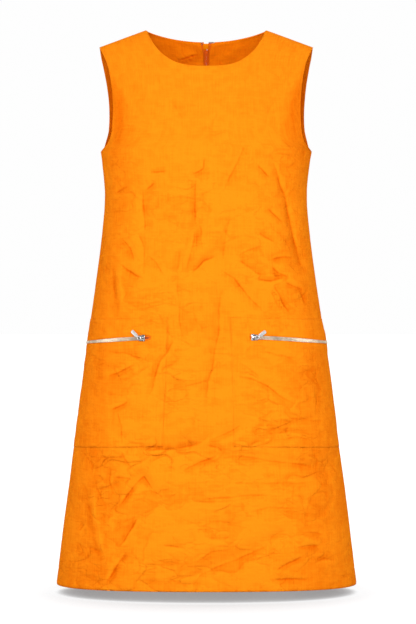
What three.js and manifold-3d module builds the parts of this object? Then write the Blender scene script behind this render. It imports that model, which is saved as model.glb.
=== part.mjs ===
// A sleeveless A-line dress, worn and hollow: a front panel, two back panels with a zip between them,
// and two patch pockets that each open through a metal zip.
// Millimetres. +Z is up, the front faces -Y and the wearer's left is +X.
// The origin lies between the two inner ends of the shoulder seams, where the dress hangs from the wearer.
import * as THREE from "three";
import { mergeVertices } from "three/addons/utils/BufferGeometryUtils.js";
import Module from "manifold-3d";

const wasm = await Module();
wasm.setup();

// Cloth and clearances
const CLOTH = 1.5; // wall of the front and back panels
const PATCH = 1.2; // wall of a pocket patch
const TAPE = 0.6; // wall of a zip tape
const GAP = 0.3; // left between pieces that touch

// Neck, shoulders and hem
const NECK_HALF_WIDTH = 97;
const FRONT_NECK_DROP = 67.5;
const BACK_NECK_DROP = 11;
const FRONT_NECK_BREADTH = 3; // over 2 makes the bottom of the curve broader than a parabola
const FRONT_NECK_FULLNESS = 0.78; // under 1 makes its two ends steeper
const SHOULDER_HALF_WIDTH = 175;
const SHOULDER_SLOPE = 0.385;
const SHOULDER_ROUND = 50; // how softly the two shoulder slopes meet behind the neck
const ARMPIT_Z = -201;
const HEM_SIDE_Z = -906.5;

// Form of the torso
const SQUARENESS = 2.2; // exponent of a section, where 2 is an ellipse
// Height over which the cloth rolls forward or back from the shoulder seam
const ROLL_HEIGHT = { front: 380, back: 240 };
const SECTIONS = [
  { z: 0, half: 202, front: 132, back: 108 },
  { z: -60, half: 200, front: 132, back: 110 },
  { z: -120, half: 194, front: 132, back: 110 },
  { z: -160, half: 185, front: 133, back: 109 },
  { z: -201, half: 173, front: 134, back: 108 },
  { z: -228, half: 168, front: 134, back: 107 },
  { z: -277, half: 165.4, front: 135, back: 105 },
  { z: -330, half: 169.6, front: 135, back: 107 },
  { z: -400, half: 178.4, front: 136, back: 111 },
  { z: -500, half: 193.5, front: 138, back: 116 },
  { z: -700, half: 219.6, front: 144, back: 124 },
  { z: -908, half: 245, front: 150, back: 132 },
];
const ARMHOLE = [
  { z: -29, front: 175, back: 175 },
  { z: -43, front: 168, back: 173.3 },
  { z: -60, front: 161, back: 170 },
  { z: -90, front: 154.8, back: 165.2 },
  { z: -125, front: 151.4, back: 162.4 },
  { z: -160, front: 152.2, back: 163.2 },
  { z: -180, front: 155.4, back: 167.2 },
  { z: -192, front: 161.8, back: 170 },
  { z: -201, front: 173, back: 173 },
];

// Rows of the front panel, as heights at the centre front and how far each row sinks at the side seams
const SLOT_HALF_HEIGHT = 4.6; // the opening that a pocket's zip lies in
const TAPE_HALF_HEIGHT = 9;
const ZIP_Z = -501;
const ZIP_DROOP = 11;
const FRONT_LEVELS = [
  { name: "hem", z: -903, droop: -903 - HEM_SIDE_Z, rowsUp: 10 },
  { name: "pocketBottom", z: -675, droop: 7, rowsUp: 8 },
  { name: "tapeLow", z: ZIP_Z - TAPE_HALF_HEIGHT, droop: ZIP_DROOP, rowsUp: 1 },
  { name: "slotLow", z: ZIP_Z - SLOT_HALF_HEIGHT, droop: ZIP_DROOP, rowsUp: 1 },
  { name: "slotHigh", z: ZIP_Z + SLOT_HALF_HEIGHT, droop: ZIP_DROOP, rowsUp: 1 },
  { name: "tapeHigh", z: ZIP_Z + TAPE_HALF_HEIGHT, droop: ZIP_DROOP, rowsUp: 1 },
  { name: "pocketTop", z: -471, droop: 2.5, rowsUp: 4 },
  { name: "waist", z: -400, droop: 0, rowsUp: 10 },
  { name: "armpit", z: ARMPIT_Z, droop: 0, rowsUp: 0 },
];
const BACK_ZIP_END_Z = -520;
const BACK_LEVELS = [
  { name: "hem", z: HEM_SIDE_Z, droop: 0, rowsUp: 16 },
  { name: "zipEnd", z: BACK_ZIP_END_Z, droop: 0, rowsUp: 14 },
  { name: "armpit", z: ARMPIT_Z, droop: 0, rowsUp: 0 },
];
// From the armpit (1) to the top edge (0), closer together where the edges curve most
const YOKE_STEPS = [0.985, 0.96, 0.925, 0.87, 0.79, 0.69, 0.58, 0.46, 0.34, 0.23, 0.12, 0];

// Columns, as shares of a section's half width. The pockets sit a little towards the wearer's right.
const POCKETS = {
  left: { side: -1, inner: -0.32, slotEnd: -0.455, slider: -0.52, swivel: 45 },
  right: { side: 1, inner: 0.2, slotEnd: 0.35, slider: 0.398, swivel: 37 },
};
const NECK_SHARE = NECK_HALF_WIDTH / SHOULDER_HALF_WIDTH;
const NECK_BEND_SHARE = 0.52; // where the neckline turns up to the shoulder seam
const FRONT_COLUMNS = [
  { share: -1, columnsOn: 7 },
  { share: -NECK_SHARE, columnsOn: 1 },
  { share: -NECK_BEND_SHARE, columnsOn: 1 },
  { share: POCKETS.left.slotEnd, columnsOn: 2 },
  { share: POCKETS.left.inner, columnsOn: 4 },
  { share: 0, columnsOn: 2 },
  { share: POCKETS.right.inner, columnsOn: 2 },
  { share: POCKETS.right.slotEnd, columnsOn: 2 },
  { share: NECK_BEND_SHARE, columnsOn: 1 },
  { share: NECK_SHARE, columnsOn: 7 },
  { share: 1, columnsOn: 0 },
];
const BACK_TAPE_SHARE = 0.066;
const BACK_COLUMNS = [
  { share: 0, columnsOn: 1 },
  { share: BACK_TAPE_SHARE, columnsOn: 4 },
  { share: NECK_BEND_SHARE, columnsOn: 1 },
  { share: NECK_SHARE, columnsOn: 7 },
  { share: 1, columnsOn: 0 },
];

// Largest creases, from one end to the other in the front view. A negative lift is a trough.
const CREASES = {
  front: [
    { x0: -17, z0: -240, x1: -15, z1: -335, lift: -4.5, width: 14 },
    { x0: -98, z0: -272, x1: -96, z1: -385, lift: -3.5, width: 14 },
    { x0: 64, z0: -198, x1: 26, z1: -272, lift: -3.5, width: 14 },
    { x0: 43, z0: -285, x1: 26, z1: -384, lift: -3, width: 14 },
    { x0: -24, z0: -398, x1: 18, z1: -374, lift: -5, width: 16 },
    { x0: 26, z0: -400, x1: 94, z1: -460, lift: -4, width: 14 },
    { x0: 25, z0: -420, x1: 2, z1: -640, lift: -4.5, width: 16 },
    { x0: -45, z0: -412, x1: -36, z1: -508, lift: -3, width: 14 },
    { x0: 112, z0: -222, x1: 152, z1: -380, lift: -4, width: 16 },
    { x0: -115, z0: -677, x1: -26, z1: -677, lift: -4, width: 16 },
    { x0: -26, z0: -677, x1: 58, z1: -640, lift: -5, width: 16 },
    { x0: -93, z0: -706, x1: -46, z1: -684, lift: -4, width: 16 },
    { x0: -36, z0: -710, x1: 22, z1: -686, lift: -4.5, width: 16 },
    { x0: -142, z0: -772, x1: -106, z1: -724, lift: -4, width: 16 },
    { x0: -106, z0: -724, x1: -70, z1: -762, lift: -3.5, width: 14 },
    { x0: -142, z0: -840, x1: -108, z1: -786, lift: -4, width: 16 },
    { x0: 20, z0: -690, x1: 190, z1: -716, lift: -3.5, width: 17 },
    { x0: -10, z0: -874, x1: 118, z1: -817, lift: -3.5, width: 17 },
  ],
  back: [
    { x0: -120, z0: -150, x1: -60, z1: -210, lift: -3.5, width: 17 },
    { x0: 118, z0: -160, x1: 66, z1: -232, lift: -4, width: 17 },
    { x0: -40, z0: -300, x1: -120, z1: -352, lift: -4, width: 17 },
    { x0: 46, z0: -318, x1: 128, z1: -366, lift: -4, width: 17 },
    { x0: -60, z0: -430, x1: -44, z1: -600, lift: -4, width: 18 },
    { x0: 70, z0: -452, x1: 86, z1: -640, lift: -4, width: 18 },
    { x0: -150, z0: -690, x1: -50, z1: -668, lift: -4, width: 18 },
    { x0: 60, z0: -742, x1: 158, z1: -706, lift: -4, width: 18 },
    { x0: -120, z0: -840, x1: -40, z1: -800, lift: -3.5, width: 18 },
    { x0: 40, z0: -862, x1: 140, z1: -838, lift: -3.5, width: 18 },
  ],
};
const CREASE_FADE = 0.1; // share of the half width over which creases die out towards a seam

// Centre back: the edges part at the top, round the slider of the zip
const BACK_NOTCH = { half: 4.1, top: -BACK_NECK_DROP, bottom: -36 };
const BACK_SLIDER_Z = -18;

// Zips
const TEETH = { halfHeight: 2.9, low: TAPE + 2 * GAP, high: 3, intoSlider: 2.5 };
const COIL = { halfWidth: 4.3, thickness: 1.8, aboveZipEnd: 12 };
const WELD = 0.3; // how deep joined parts of one casting run into each other

const COLOURS = {
  linen: { color: 0xf79a1c, roughness: 0.85, metalness: 0 },
  zipCloth: { color: 0xe8641a, roughness: 0.8, metalness: 0 },
  nickel: { color: 0xc9cac8, roughness: 0.25, metalness: 1 },
  enamel: { color: 0xee7f1c, roughness: 0.45, metalness: 0 },
};
const materials = Object.fromEntries(
  Object.entries(COLOURS).map(([name, look]) => [name, new THREE.MeshStandardMaterial(look)]),
);

const dress = new THREE.Group();

function addMesh(parent, name, geometry, material) {
  const mesh = new THREE.Mesh(geometry, material);
  mesh.name = name;
  parent.add(mesh);
  return mesh;
}

const smooth = (t) => THREE.MathUtils.smoothstep(t, 0, 1);

// A smooth curve through one column of a table whose z falls from row to row
function readTable(rows, column, z) {
  const last = rows.length - 1;
  const at = THREE.MathUtils.clamp(z, rows[last].z, rows[0].z);
  let i = 0;
  while (i < last - 1 && at < rows[i + 1].z) i++;
  const slope = (k) => {
    const a = rows[Math.max(k - 1, 0)];
    const b = rows[Math.min(k + 1, last)];
    return (b[column] - a[column]) / (b.z - a.z);
  };
  const span = rows[i + 1].z - rows[i].z;
  const t = (at - rows[i].z) / span;
  const t2 = t * t;
  const t3 = t2 * t;
  return (
    (2 * t3 - 3 * t2 + 1) * rows[i][column] +
    (t3 - 2 * t2 + t) * span * slope(i) +
    (3 * t2 - 2 * t3) * rows[i + 1][column] +
    (t3 - t2) * span * slope(i + 1)
  );
}

// Height of the shoulder seams across the dress, zero at the neck
const SHOULDER_CREST = SHOULDER_SLOPE * Math.hypot(NECK_HALF_WIDTH, SHOULDER_ROUND);
const shoulderLine = (x) => SHOULDER_CREST - SHOULDER_SLOPE * Math.hypot(x, SHOULDER_ROUND);

function neckline(face, x) {
  const share = Math.min(1, Math.abs(x) / NECK_HALF_WIDTH);
  if (face === "back") return -BACK_NECK_DROP * (1 - share ** 2);
  return -FRONT_NECK_DROP * (1 - share ** FRONT_NECK_BREADTH) ** FRONT_NECK_FULLNESS;
}

// Square of how far the smooth cloth stands from the plane of the side seams
function depthSquared(face, x, z) {
  const share = Math.min(1, Math.abs(x) / readTable(SECTIONS, "half", z));
  const across = (1 - share ** SQUARENESS) ** (2 / SQUARENESS);
  const drop = THREE.MathUtils.clamp((shoulderLine(x) - z) / ROLL_HEIGHT[face], 0, 1);
  return readTable(SECTIONS, face, z) ** 2 * across * (2 * drop - drop * drop);
}

// Outward normal of the smooth cloth
function normalAt(face, x, z) {
  const sign = face === "front" ? -1 : 1;
  const half = readTable(SECTIONS, "half", z);
  const inside = THREE.MathUtils.clamp(x, -0.998 * half, 0.998 * half);
  const step = 0.05;
  const across = (depthSquared(face, inside + step, z) - depthSquared(face, inside - step, z)) / (2 * step);
  const up = (depthSquared(face, inside, z + step) - depthSquared(face, inside, z - step)) / (2 * step);
  const y = sign * Math.sqrt(depthSquared(face, x, z));
  return new THREE.Vector3(-across, 2 * y, -up).normalize();
}

// How far the creases push the cloth out at a place, dying out at the seams
function creaseLift(face, share, x, z) {
  const fade = smooth((1 - Math.abs(share)) / CREASE_FADE) * smooth((shoulderLine(x) - z) / 60);
  let lift = 0;
  for (const crease of CREASES[face]) {
    const along = new THREE.Vector2(crease.x1 - crease.x0, crease.z1 - crease.z0);
    const length = along.length();
    along.normalize();
    const from = new THREE.Vector2(x - crease.x0, z - crease.z0);
    const run = from.dot(along);
    const off = from.cross(along);
    const past = Math.max(0, -run, run - length);
    lift += crease.lift * Math.exp(-(off * off + past * past) / crease.width ** 2);
  }
  return lift * fade;
}

const columnAngle = (share) => Math.asin(share) / (Math.PI / 2);

// Shares of the half width for every column, evenly spread round the section between the key columns
function spreadColumns(keys) {
  const columns = [];
  keys.forEach((key, i) => {
    const from = columnAngle(key.share);
    const to = i + 1 < keys.length ? columnAngle(keys[i + 1].share) : from;
    for (let k = 0; k < key.columnsOn; k++)
      columns.push(Math.sin((from + ((to - from) * k) / key.columnsOn) * (Math.PI / 2)));
  });
  columns.push(keys[keys.length - 1].share);
  return columns;
}

// Rows from the hem to the armpit at set heights, then up to the top edge in steps
function spreadRows(levels) {
  const rows = [];
  levels.forEach((level, i) => {
    const next = levels[i + 1] ?? level;
    for (let k = 0; k < level.rowsUp; k++) {
      const t = k / level.rowsUp;
      rows.push({
        z: THREE.MathUtils.lerp(level.z, next.z, t),
        droop: THREE.MathUtils.lerp(level.droop, next.droop, t),
      });
    }
  });
  rows.push({ z: ARMPIT_Z, droop: 0 });
  YOKE_STEPS.forEach((step) => rows.push({ step }));
  return rows;
}

function rowNumber(levels, name) {
  let row = 0;
  for (const level of levels) {
    if (level.name === name) return row;
    row += level.rowsUp;
  }
  throw new Error("no level named " + name);
}

// Place of one grid point in the front view
function placeOf(face, share, row) {
  if (row.step === undefined) {
    const z = row.z - row.droop * share * share;
    return { x: share * readTable(SECTIONS, "half", z), z };
  }
  const topX = share * SHOULDER_HALF_WIDTH;
  const inNeck = Math.abs(topX) < NECK_HALF_WIDTH;
  const topZ = inNeck ? neckline(face, topX) : shoulderLine(topX);
  const bend = inNeck ? 0.3 + 0.7 * smooth(Math.abs(topX) / NECK_HALF_WIDTH) : 1;
  const fall = bend * row.step * row.step + (1 - bend) * row.step;
  const tipZ = shoulderLine(SHOULDER_HALF_WIDTH);
  const edgeZ = tipZ + (ARMPIT_Z - tipZ) * row.step * row.step;
  return { x: share * readTable(ARMHOLE, face, edgeZ), z: topZ + (ARMPIT_Z - topZ) * fall };
}

// Half of the opening between the two back panels
function backParting(z) {
  const open = smooth((z - BACK_NOTCH.bottom) / (BACK_NOTCH.top - BACK_NOTCH.bottom));
  return GAP / 2 + BACK_NOTCH.half * open;
}

// One spot of the cloth's outer surface, with its normal. A back panel lies on side -1 or 1 of the parting.
function clothSpot(face, side, share, row) {
  const { x: across, z } = placeOf(face, share, row);
  const parting = side === 0 ? 0 : backParting(z);
  const x = side === 0 ? across : side * (parting + across * (1 - parting / SHOULDER_HALF_WIDTH));
  const y = Math.sqrt(depthSquared(face, across, z)) + GAP / 2;
  const normal = normalAt(face, side === 0 ? across : side * across, z);
  const smoothPoint = new THREE.Vector3(x, face === "front" ? -y : y, z);
  return { point: smoothPoint.addScaledVector(normal, creaseLift(face, share, x, z)), normal };
}

const clothGrid = (face, side, shares, rows) =>
  shares.map((share) => rows.map((row) => clothSpot(face, side, share, row)));

const moved = (spot, out) => spot.point.clone().addScaledVector(spot.normal, out);

// A closed wall between two offsets of a grid. keep(i, j) says which cells are cloth, and turned is for a
// grid whose columns run the other way round.
function wall(grid, low, high, { keep = () => true, turned = false } = {}) {
  const columns = grid.length;
  const rows = grid[0].length;
  const offset = (level, i, j) => (typeof level === "function" ? level(i, j) : level);
  const positions = [];
  for (const level of [high, low])
    for (let i = 0; i < columns; i++)
      for (let j = 0; j < rows; j++) positions.push(...moved(grid[i][j], offset(level, i, j)).toArray());
  const outer = (i, j) => i * rows + j;
  const inner = (i, j) => columns * rows + outer(i, j);
  const index = [];
  const face = (a, b, c) => (turned ? index.push(a, c, b) : index.push(a, b, c));
  const kept = (i, j) => i >= 0 && j >= 0 && i < columns - 1 && j < rows - 1 && keep(i, j);
  const side = (i0, j0, i1, j1) => {
    face(outer(i0, j0), inner(i0, j0), outer(i1, j1));
    face(outer(i1, j1), inner(i0, j0), inner(i1, j1));
  };
  for (let i = 0; i < columns - 1; i++)
    for (let j = 0; j < rows - 1; j++) {
      if (!kept(i, j)) continue;
      face(outer(i, j), outer(i + 1, j), outer(i + 1, j + 1));
      face(outer(i, j), outer(i + 1, j + 1), outer(i, j + 1));
      face(inner(i, j), inner(i + 1, j + 1), inner(i + 1, j));
      face(inner(i, j), inner(i, j + 1), inner(i + 1, j + 1));
      if (!kept(i, j - 1)) side(i, j, i + 1, j);
      if (!kept(i + 1, j)) side(i + 1, j, i + 1, j + 1);
      if (!kept(i, j + 1)) side(i + 1, j + 1, i, j + 1);
      if (!kept(i - 1, j)) side(i, j + 1, i, j);
    }
  const geometry = new THREE.BufferGeometry();
  geometry.setAttribute("position", new THREE.Float32BufferAttribute(positions, 3));
  geometry.setIndex(index);
  geometry.computeVertexNormals();
  return geometry;
}

// Some columns and rows of a grid, as a grid of their own
const cutGrid = (grid, i0, i1, j0, j1) => grid.slice(i0, i1 + 1).map((column) => column.slice(j0, j1 + 1));

function between(a, b, t) {
  return { point: a.point.clone().lerp(b.point, t), normal: a.normal.clone().lerp(b.normal, t).normalize() };
}

// ---- manifold-3d: joining and cutting of the small hard pieces ----
function solid(geometry) {
  const bare = new THREE.BufferGeometry();
  const loose = geometry.index ? geometry.toNonIndexed() : geometry;
  bare.setAttribute("position", loose.getAttribute("position"));
  const merged = mergeVertices(bare, 1e-4);
  return new wasm.Manifold(
    new wasm.Mesh({
      numProp: 3,
      vertProperties: new Float32Array(merged.attributes.position.array),
      triVerts: new Uint32Array(merged.index.array),
    }),
  );
}

function geometryOf(made) {
  const mesh = made.getMesh();
  const points = [];
  for (let i = 0; i < mesh.numVert; i++)
    points.push(...mesh.vertProperties.subarray(i * mesh.numProp, i * mesh.numProp + 3));
  const geometry = new THREE.BufferGeometry();
  geometry.setAttribute("position", new THREE.Float32BufferAttribute(points, 3));
  geometry.setIndex([...mesh.triVerts]);
  return geometry;
}

function block(x0, x1, y0, y1, z0, z1) {
  const geometry = new THREE.BoxGeometry(x1 - x0, y1 - y0, z1 - z0);
  return geometry.translate((x0 + x1) / 2, (y0 + y1) / 2, (z0 + z1) / 2);
}

// An outline in the plane of the cloth, given a thickness from z0 to z1
function plate(shape, z0, z1) {
  const options = { depth: z1 - z0, bevelEnabled: false, curveSegments: 8 };
  return new THREE.ExtrudeGeometry(shape, options).translate(0, 0, z0);
}

// ---- Panels ----
const frontShares = spreadColumns(FRONT_COLUMNS);
const frontRows = spreadRows(FRONT_LEVELS);
const frontGrid = clothGrid("front", 0, frontShares, frontRows);
addMesh(dress, "front_panel", wall(frontGrid, -CLOTH, 0), materials.linen);

const backShares = spreadColumns(BACK_COLUMNS);
const backRows = spreadRows(BACK_LEVELS);
const backGrids = {
  left: clothGrid("back", -1, backShares, backRows),
  right: clothGrid("back", 1, backShares, backRows),
};
addMesh(dress, "back_left_panel", wall(backGrids.left, -CLOTH, 0), materials.linen);
addMesh(dress, "back_right_panel", wall(backGrids.right, -CLOTH, 0, { turned: true }), materials.linen);

// ---- Pockets and their zips ----
const columnOf = (share) => frontShares.findIndex((s) => Math.abs(s - share) < 1e-6);
const frontRow = (name) => rowNumber(FRONT_LEVELS, name);

// The patch lies flat at its sewn edges and rises over the zip's tape
function patchOffset(fromSlotEnd, j, rows) {
  const besideZip = j >= rows.tapeLow - 1 && j <= rows.tapeHigh;
  return besideZip && fromSlotEnd >= -1 ? TAPE + 2 * GAP : GAP;
}

// A straight frame on the cloth: x along it, z out of it
function seatFrame(origin, along, normal) {
  const z = normal.clone().normalize();
  const x = along.clone().addScaledVector(z, -along.dot(z)).normalize();
  const y = new THREE.Vector3().crossVectors(z, x);
  const group = new THREE.Group();
  group.position.copy(origin);
  group.quaternion.setFromRotationMatrix(new THREE.Matrix4().makeBasis(x, y, z));
  return group;
}

// Metal slider of a pocket zip. The teeth run in a channel under its top plate.
const SLIDER = {
  tail: -3.9,
  nose: 6.4,
  halfTail: 4.3,
  halfNose: 5,
  plateLow: 3.3,
  plateHigh: 4.4,
  channelHalf: 3.3,
  channelEnd: 3,
  flangeLow: 1.25,
  postStart: 4,
  postHalf: 1.5,
};
const CROWN = { hole: 1.15, radius: 2.05, halfWidth: 0.8, height: 1.5 };
const RING = { radius: 3, wire: 0.45 };
const PULL = {
  length: 12.5,
  halfWidth: 2.3,
  halfThickness: 0.5,
  barrel: 1.2,
  bore: 0.88,
  barrelHalf: 1.1,
  rest: -5,
};
const HINGE_HEIGHT = SLIDER.plateHigh + CROWN.height;

// The arch that a ring or tab hangs on: an outline across the hinge, with a round hole
function crown(size, low, hingeHeight) {
  const shape = new THREE.Shape();
  shape.moveTo(-size.radius, low);
  shape.lineTo(size.radius, low);
  shape.lineTo(size.radius, hingeHeight);
  shape.absarc(0, hingeHeight, size.radius, 0, Math.PI, false);
  shape.lineTo(-size.radius, low);
  const hole = new THREE.Path();
  hole.absarc(0, hingeHeight, size.hole, 0, 2 * Math.PI, true);
  shape.holes.push(hole);
  return plate(shape, -size.halfWidth, size.halfWidth).rotateX(Math.PI / 2);
}

function sliderBody() {
  const s = SLIDER;
  const outline = new THREE.Shape();
  outline.moveTo(s.tail, -s.halfTail);
  outline.lineTo(1, -s.halfTail);
  outline.quadraticCurveTo(3, -s.halfNose, s.nose - 0.8, -s.halfNose);
  outline.lineTo(s.nose, -s.halfNose + 1);
  outline.lineTo(s.nose - 0.9, 0);
  outline.lineTo(s.nose, s.halfNose - 1);
  outline.lineTo(s.nose - 0.8, s.halfNose);
  outline.quadraticCurveTo(3, s.halfNose, 1, s.halfTail);
  outline.lineTo(s.tail, s.halfTail);
  outline.lineTo(s.tail, -s.halfTail);
  const under = s.plateLow + WELD;
  const flanges = [
    block(s.tail, s.channelEnd, -s.halfTail, -s.channelHalf, s.flangeLow, under),
    block(s.tail, s.channelEnd, s.channelHalf, s.halfTail, s.flangeLow, under),
  ];
  const post = block(s.postStart, s.nose - 1, -s.postHalf, s.postHalf, s.flangeLow, under);
  return [...flanges, post, crown(CROWN, s.plateHigh - WELD, HINGE_HEIGHT)].reduce(
    (whole, piece) => whole.add(solid(piece)),
    solid(plate(outline, s.plateLow, s.plateHigh)),
  );
}

// The ring lies flat through the crown, with its centre towards the slider's tail
function pullRing() {
  return new THREE.TorusGeometry(RING.radius, RING.wire, 8, 24).translate(-RING.radius, 0, 0);
}

// A flat bar that ends in a barrel round the ring's wire, pointing out from the ring at the swivel angle
function pullBar() {
  const reach = PULL.barrel;
  const outline = new THREE.Shape();
  outline.moveTo(reach - 0.4, -PULL.halfWidth * 0.55);
  outline.lineTo(reach + 2, -PULL.halfWidth);
  outline.lineTo(reach + PULL.length - 1, -PULL.halfWidth);
  outline.quadraticCurveTo(reach + PULL.length, -PULL.halfWidth, reach + PULL.length, -PULL.halfWidth + 1);
  outline.lineTo(reach + PULL.length, PULL.halfWidth - 1);
  outline.quadraticCurveTo(reach + PULL.length, PULL.halfWidth, reach + PULL.length - 1, PULL.halfWidth);
  outline.lineTo(reach + 2, PULL.halfWidth);
  outline.lineTo(reach - 0.4, PULL.halfWidth * 0.55);
  const bar = solid(plate(outline, -PULL.halfThickness, PULL.halfThickness));
  const barrel = solid(new THREE.CylinderGeometry(PULL.barrel, PULL.barrel, 2 * PULL.barrelHalf, 12));
  const bore = solid(new THREE.CylinderGeometry(PULL.bore, PULL.bore, 4 * PULL.barrelHalf, 12));
  return bar.add(barrel).subtract(bore);
}

function buildPocket(name, pocket) {
  const side = pocket.side;
  const inner = columnOf(pocket.inner);
  const slotEnd = columnOf(pocket.slotEnd);
  const seam = side < 0 ? 0 : frontShares.length - 1;
  const [i0, i1] = side < 0 ? [seam, inner] : [inner, seam];
  const base = frontRow("pocketBottom");
  const rows = Object.fromEntries(
    ["tapeLow", "slotLow", "slotHigh", "tapeHigh", "pocketTop"].map((row) => [row, frontRow(row) - base]),
  );
  const patchGrid = cutGrid(frontGrid, i0, i1, base, base + rows.pocketTop);
  const beyond = (i) => side * (i0 + i - slotEnd); // columns from the slot's inner end towards the seam
  const inSlot = (i, j) => j === rows.slotLow && (side < 0 ? beyond(i + 1) >= 0 : beyond(i) >= 0);
  const low = (i, j) => patchOffset(beyond(i), j, rows);
  addMesh(
    dress,
    `pocket_${name}`,
    wall(patchGrid, low, (i, j) => low(i, j) + PATCH, { keep: (i, j) => !inSlot(i, j) }),
    materials.linen,
  );

  const [t0, t1] = side < 0 ? [seam, slotEnd] : [slotEnd, seam];
  const tapeGrid = cutGrid(frontGrid, t0, t1, base + rows.tapeLow, base + rows.tapeHigh);
  addMesh(dress, `pocket_tape_${name}`, wall(tapeGrid, GAP, GAP + TAPE), materials.zipCloth);

  // The slider sits on the slot's middle line, between two columns
  const middle = (i, t = 0.5) =>
    between(frontGrid[i][base + rows.slotLow], frontGrid[i][base + rows.slotHigh], t);
  const beside = frontShares.findIndex((share) => share > pocket.slider);
  const share = (pocket.slider - frontShares[beside - 1]) / (frontShares[beside] - frontShares[beside - 1]);
  const seat = between(middle(beside - 1), middle(beside), share);
  const along = middle(beside).point.clone().sub(middle(beside - 1).point).normalize().multiplyScalar(-side);
  const frame = seatFrame(seat.point, along, seat.normal);
  dress.add(frame);

  // The teeth run from the side seam into the slider's channel
  const strip = (i) => [0, 1].map((k) => middle(i, 0.5 + ((k - 0.5) * TEETH.halfHeight) / SLOT_HALF_HEIGHT));
  const lastWhole = side < 0 ? beside - 1 : beside;
  const end = seat.point.clone().addScaledVector(along, TEETH.intoSlider);
  const up = strip(lastWhole)[1].point.clone().sub(strip(lastWhole)[0].point).normalize();
  const stripEnd = [-1, 1].map((k) => ({
    point: end.clone().addScaledVector(up, k * TEETH.halfHeight),
    normal: seat.normal,
  }));
  const ladder = [];
  for (let i = seam; side < 0 ? i <= lastWhole : i >= lastWhole; i -= side) ladder.push(strip(i));
  ladder.push(stripEnd);
  addMesh(
    dress,
    `pocket_teeth_${name}`,
    wall(ladder, TEETH.low, TEETH.high, { turned: side > 0 }),
    materials.nickel,
  );

  addMesh(frame, `pocket_slider_${name}`, geometryOf(sliderBody()), materials.nickel);
  const swing = new THREE.Group(); // turns about the hinge line through the crown
  swing.position.set(0, 0, HINGE_HEIGHT);
  swing.rotation.y = THREE.MathUtils.degToRad(PULL.rest);
  frame.add(swing);
  addMesh(swing, `pull_ring_${name}`, pullRing(), materials.nickel);
  const turn = THREE.MathUtils.degToRad(180 + side * pocket.swivel);
  const bar = addMesh(swing, `pull_bar_${name}`, geometryOf(pullBar()), materials.nickel);
  bar.position.set(-RING.radius + RING.radius * Math.cos(turn), RING.radius * Math.sin(turn), 0);
  bar.rotation.z = turn;
}

buildPocket("left", POCKETS.left);
buildPocket("right", POCKETS.right);

// ---- Back zip: two tapes and a coil inside the panels, a slider through the parting, a tab outside ----
const BACK_SLIDER = { half: 5, halfWidth: 4.3, thickness: 2.4 };
const BACK_CROWN = { hole: 0.9, radius: 1.7, halfWidth: 0.7 };
const BACK_HINGE_HEIGHT = 2.2;
const BACK_TAB = { length: 21, halfWidth: 3.2, halfThickness: 0.45, eye: 2.15, eyeHalf: 1.15, rest: -3.5 };
const TAPE_INNER = 0.2; // share of the way from the parting to the tape's outer edge
const TAPE_TOP_Z = -BACK_NECK_DROP - 3;
const tapeLow = -CLOTH - GAP - TAPE;
const coilHigh = tapeLow - GAP;

// The stretch of an upright column of spots between two heights
function stretch(column, lowZ, highZ) {
  const spotAt = (z) => {
    const above = column.findIndex((spot) => spot.point.z > z);
    const [a, b] = [column[above - 1], column[above]];
    return between(a, b, (z - a.point.z) / (b.point.z - a.point.z));
  };
  const clear = 3; // keeps the end cells from becoming slivers
  const within = column.filter((spot) => spot.point.z > lowZ + clear && spot.point.z < highZ - clear);
  return [spotAt(lowZ), ...within, spotAt(highZ)];
}

for (const [name, grid] of Object.entries(backGrids)) {
  const tapeEdge = grid[0].map((spot, j) => between(spot, grid[1][j], TAPE_INNER));
  addMesh(
    dress,
    `back_tape_${name}`,
    wall(
      [tapeEdge, grid[1]].map((column) => stretch(column, BACK_ZIP_END_Z + 1, TAPE_TOP_Z)),
      tapeLow,
      tapeLow + TAPE,
      { turned: name === "right" },
    ),
    materials.zipCloth,
  );
}

const coilTopZ = BACK_SLIDER_Z - BACK_SLIDER.half - 0.5;
const coilEdge = (side) =>
  stretch(backGrids.left[1], BACK_ZIP_END_Z + COIL.aboveZipEnd, coilTopZ).map((spot) => {
    const opposite = { point: spot.point.clone(), normal: spot.normal.clone() };
    opposite.point.x *= -1;
    opposite.normal.x *= -1;
    return between(spot, opposite, 0.5 - (side * COIL.halfWidth) / (2 * spot.point.x));
  });
addMesh(
  dress,
  "back_coil",
  wall([coilEdge(1), coilEdge(-1)], coilHigh - COIL.thickness, coilHigh),
  materials.zipCloth,
);

function backSliderBody() {
  const inside = block(
    -BACK_SLIDER.half,
    BACK_SLIDER.half,
    -BACK_SLIDER.halfWidth,
    BACK_SLIDER.halfWidth,
    coilHigh - BACK_SLIDER.thickness,
    coilHigh,
  );
  return solid(inside).add(solid(crown(BACK_CROWN, coilHigh - WELD, BACK_HINGE_HEIGHT)));
}

// A teardrop tab whose end bar passes through the crown
function backTab() {
  const bar = BACK_TAB.halfThickness;
  const outline = new THREE.Shape();
  outline.moveTo(bar, -2);
  outline.lineTo(bar, 2);
  outline.quadraticCurveTo(-5, 2.2, -9, 1.5);
  outline.quadraticCurveTo(-13, 1.8, -15, 2.8);
  outline.quadraticCurveTo(-18, BACK_TAB.halfWidth + 0.6, -BACK_TAB.length, 0);
  outline.quadraticCurveTo(-18, -BACK_TAB.halfWidth - 0.6, -15, -2.8);
  outline.quadraticCurveTo(-13, -1.8, -9, -1.5);
  outline.quadraticCurveTo(-5, -2.2, bar, -2);
  const eye = block(-BACK_TAB.eye, -bar, -BACK_TAB.eyeHalf, BACK_TAB.eyeHalf, -1, 1);
  return solid(plate(outline, -bar, bar)).subtract(solid(eye));
}

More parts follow.
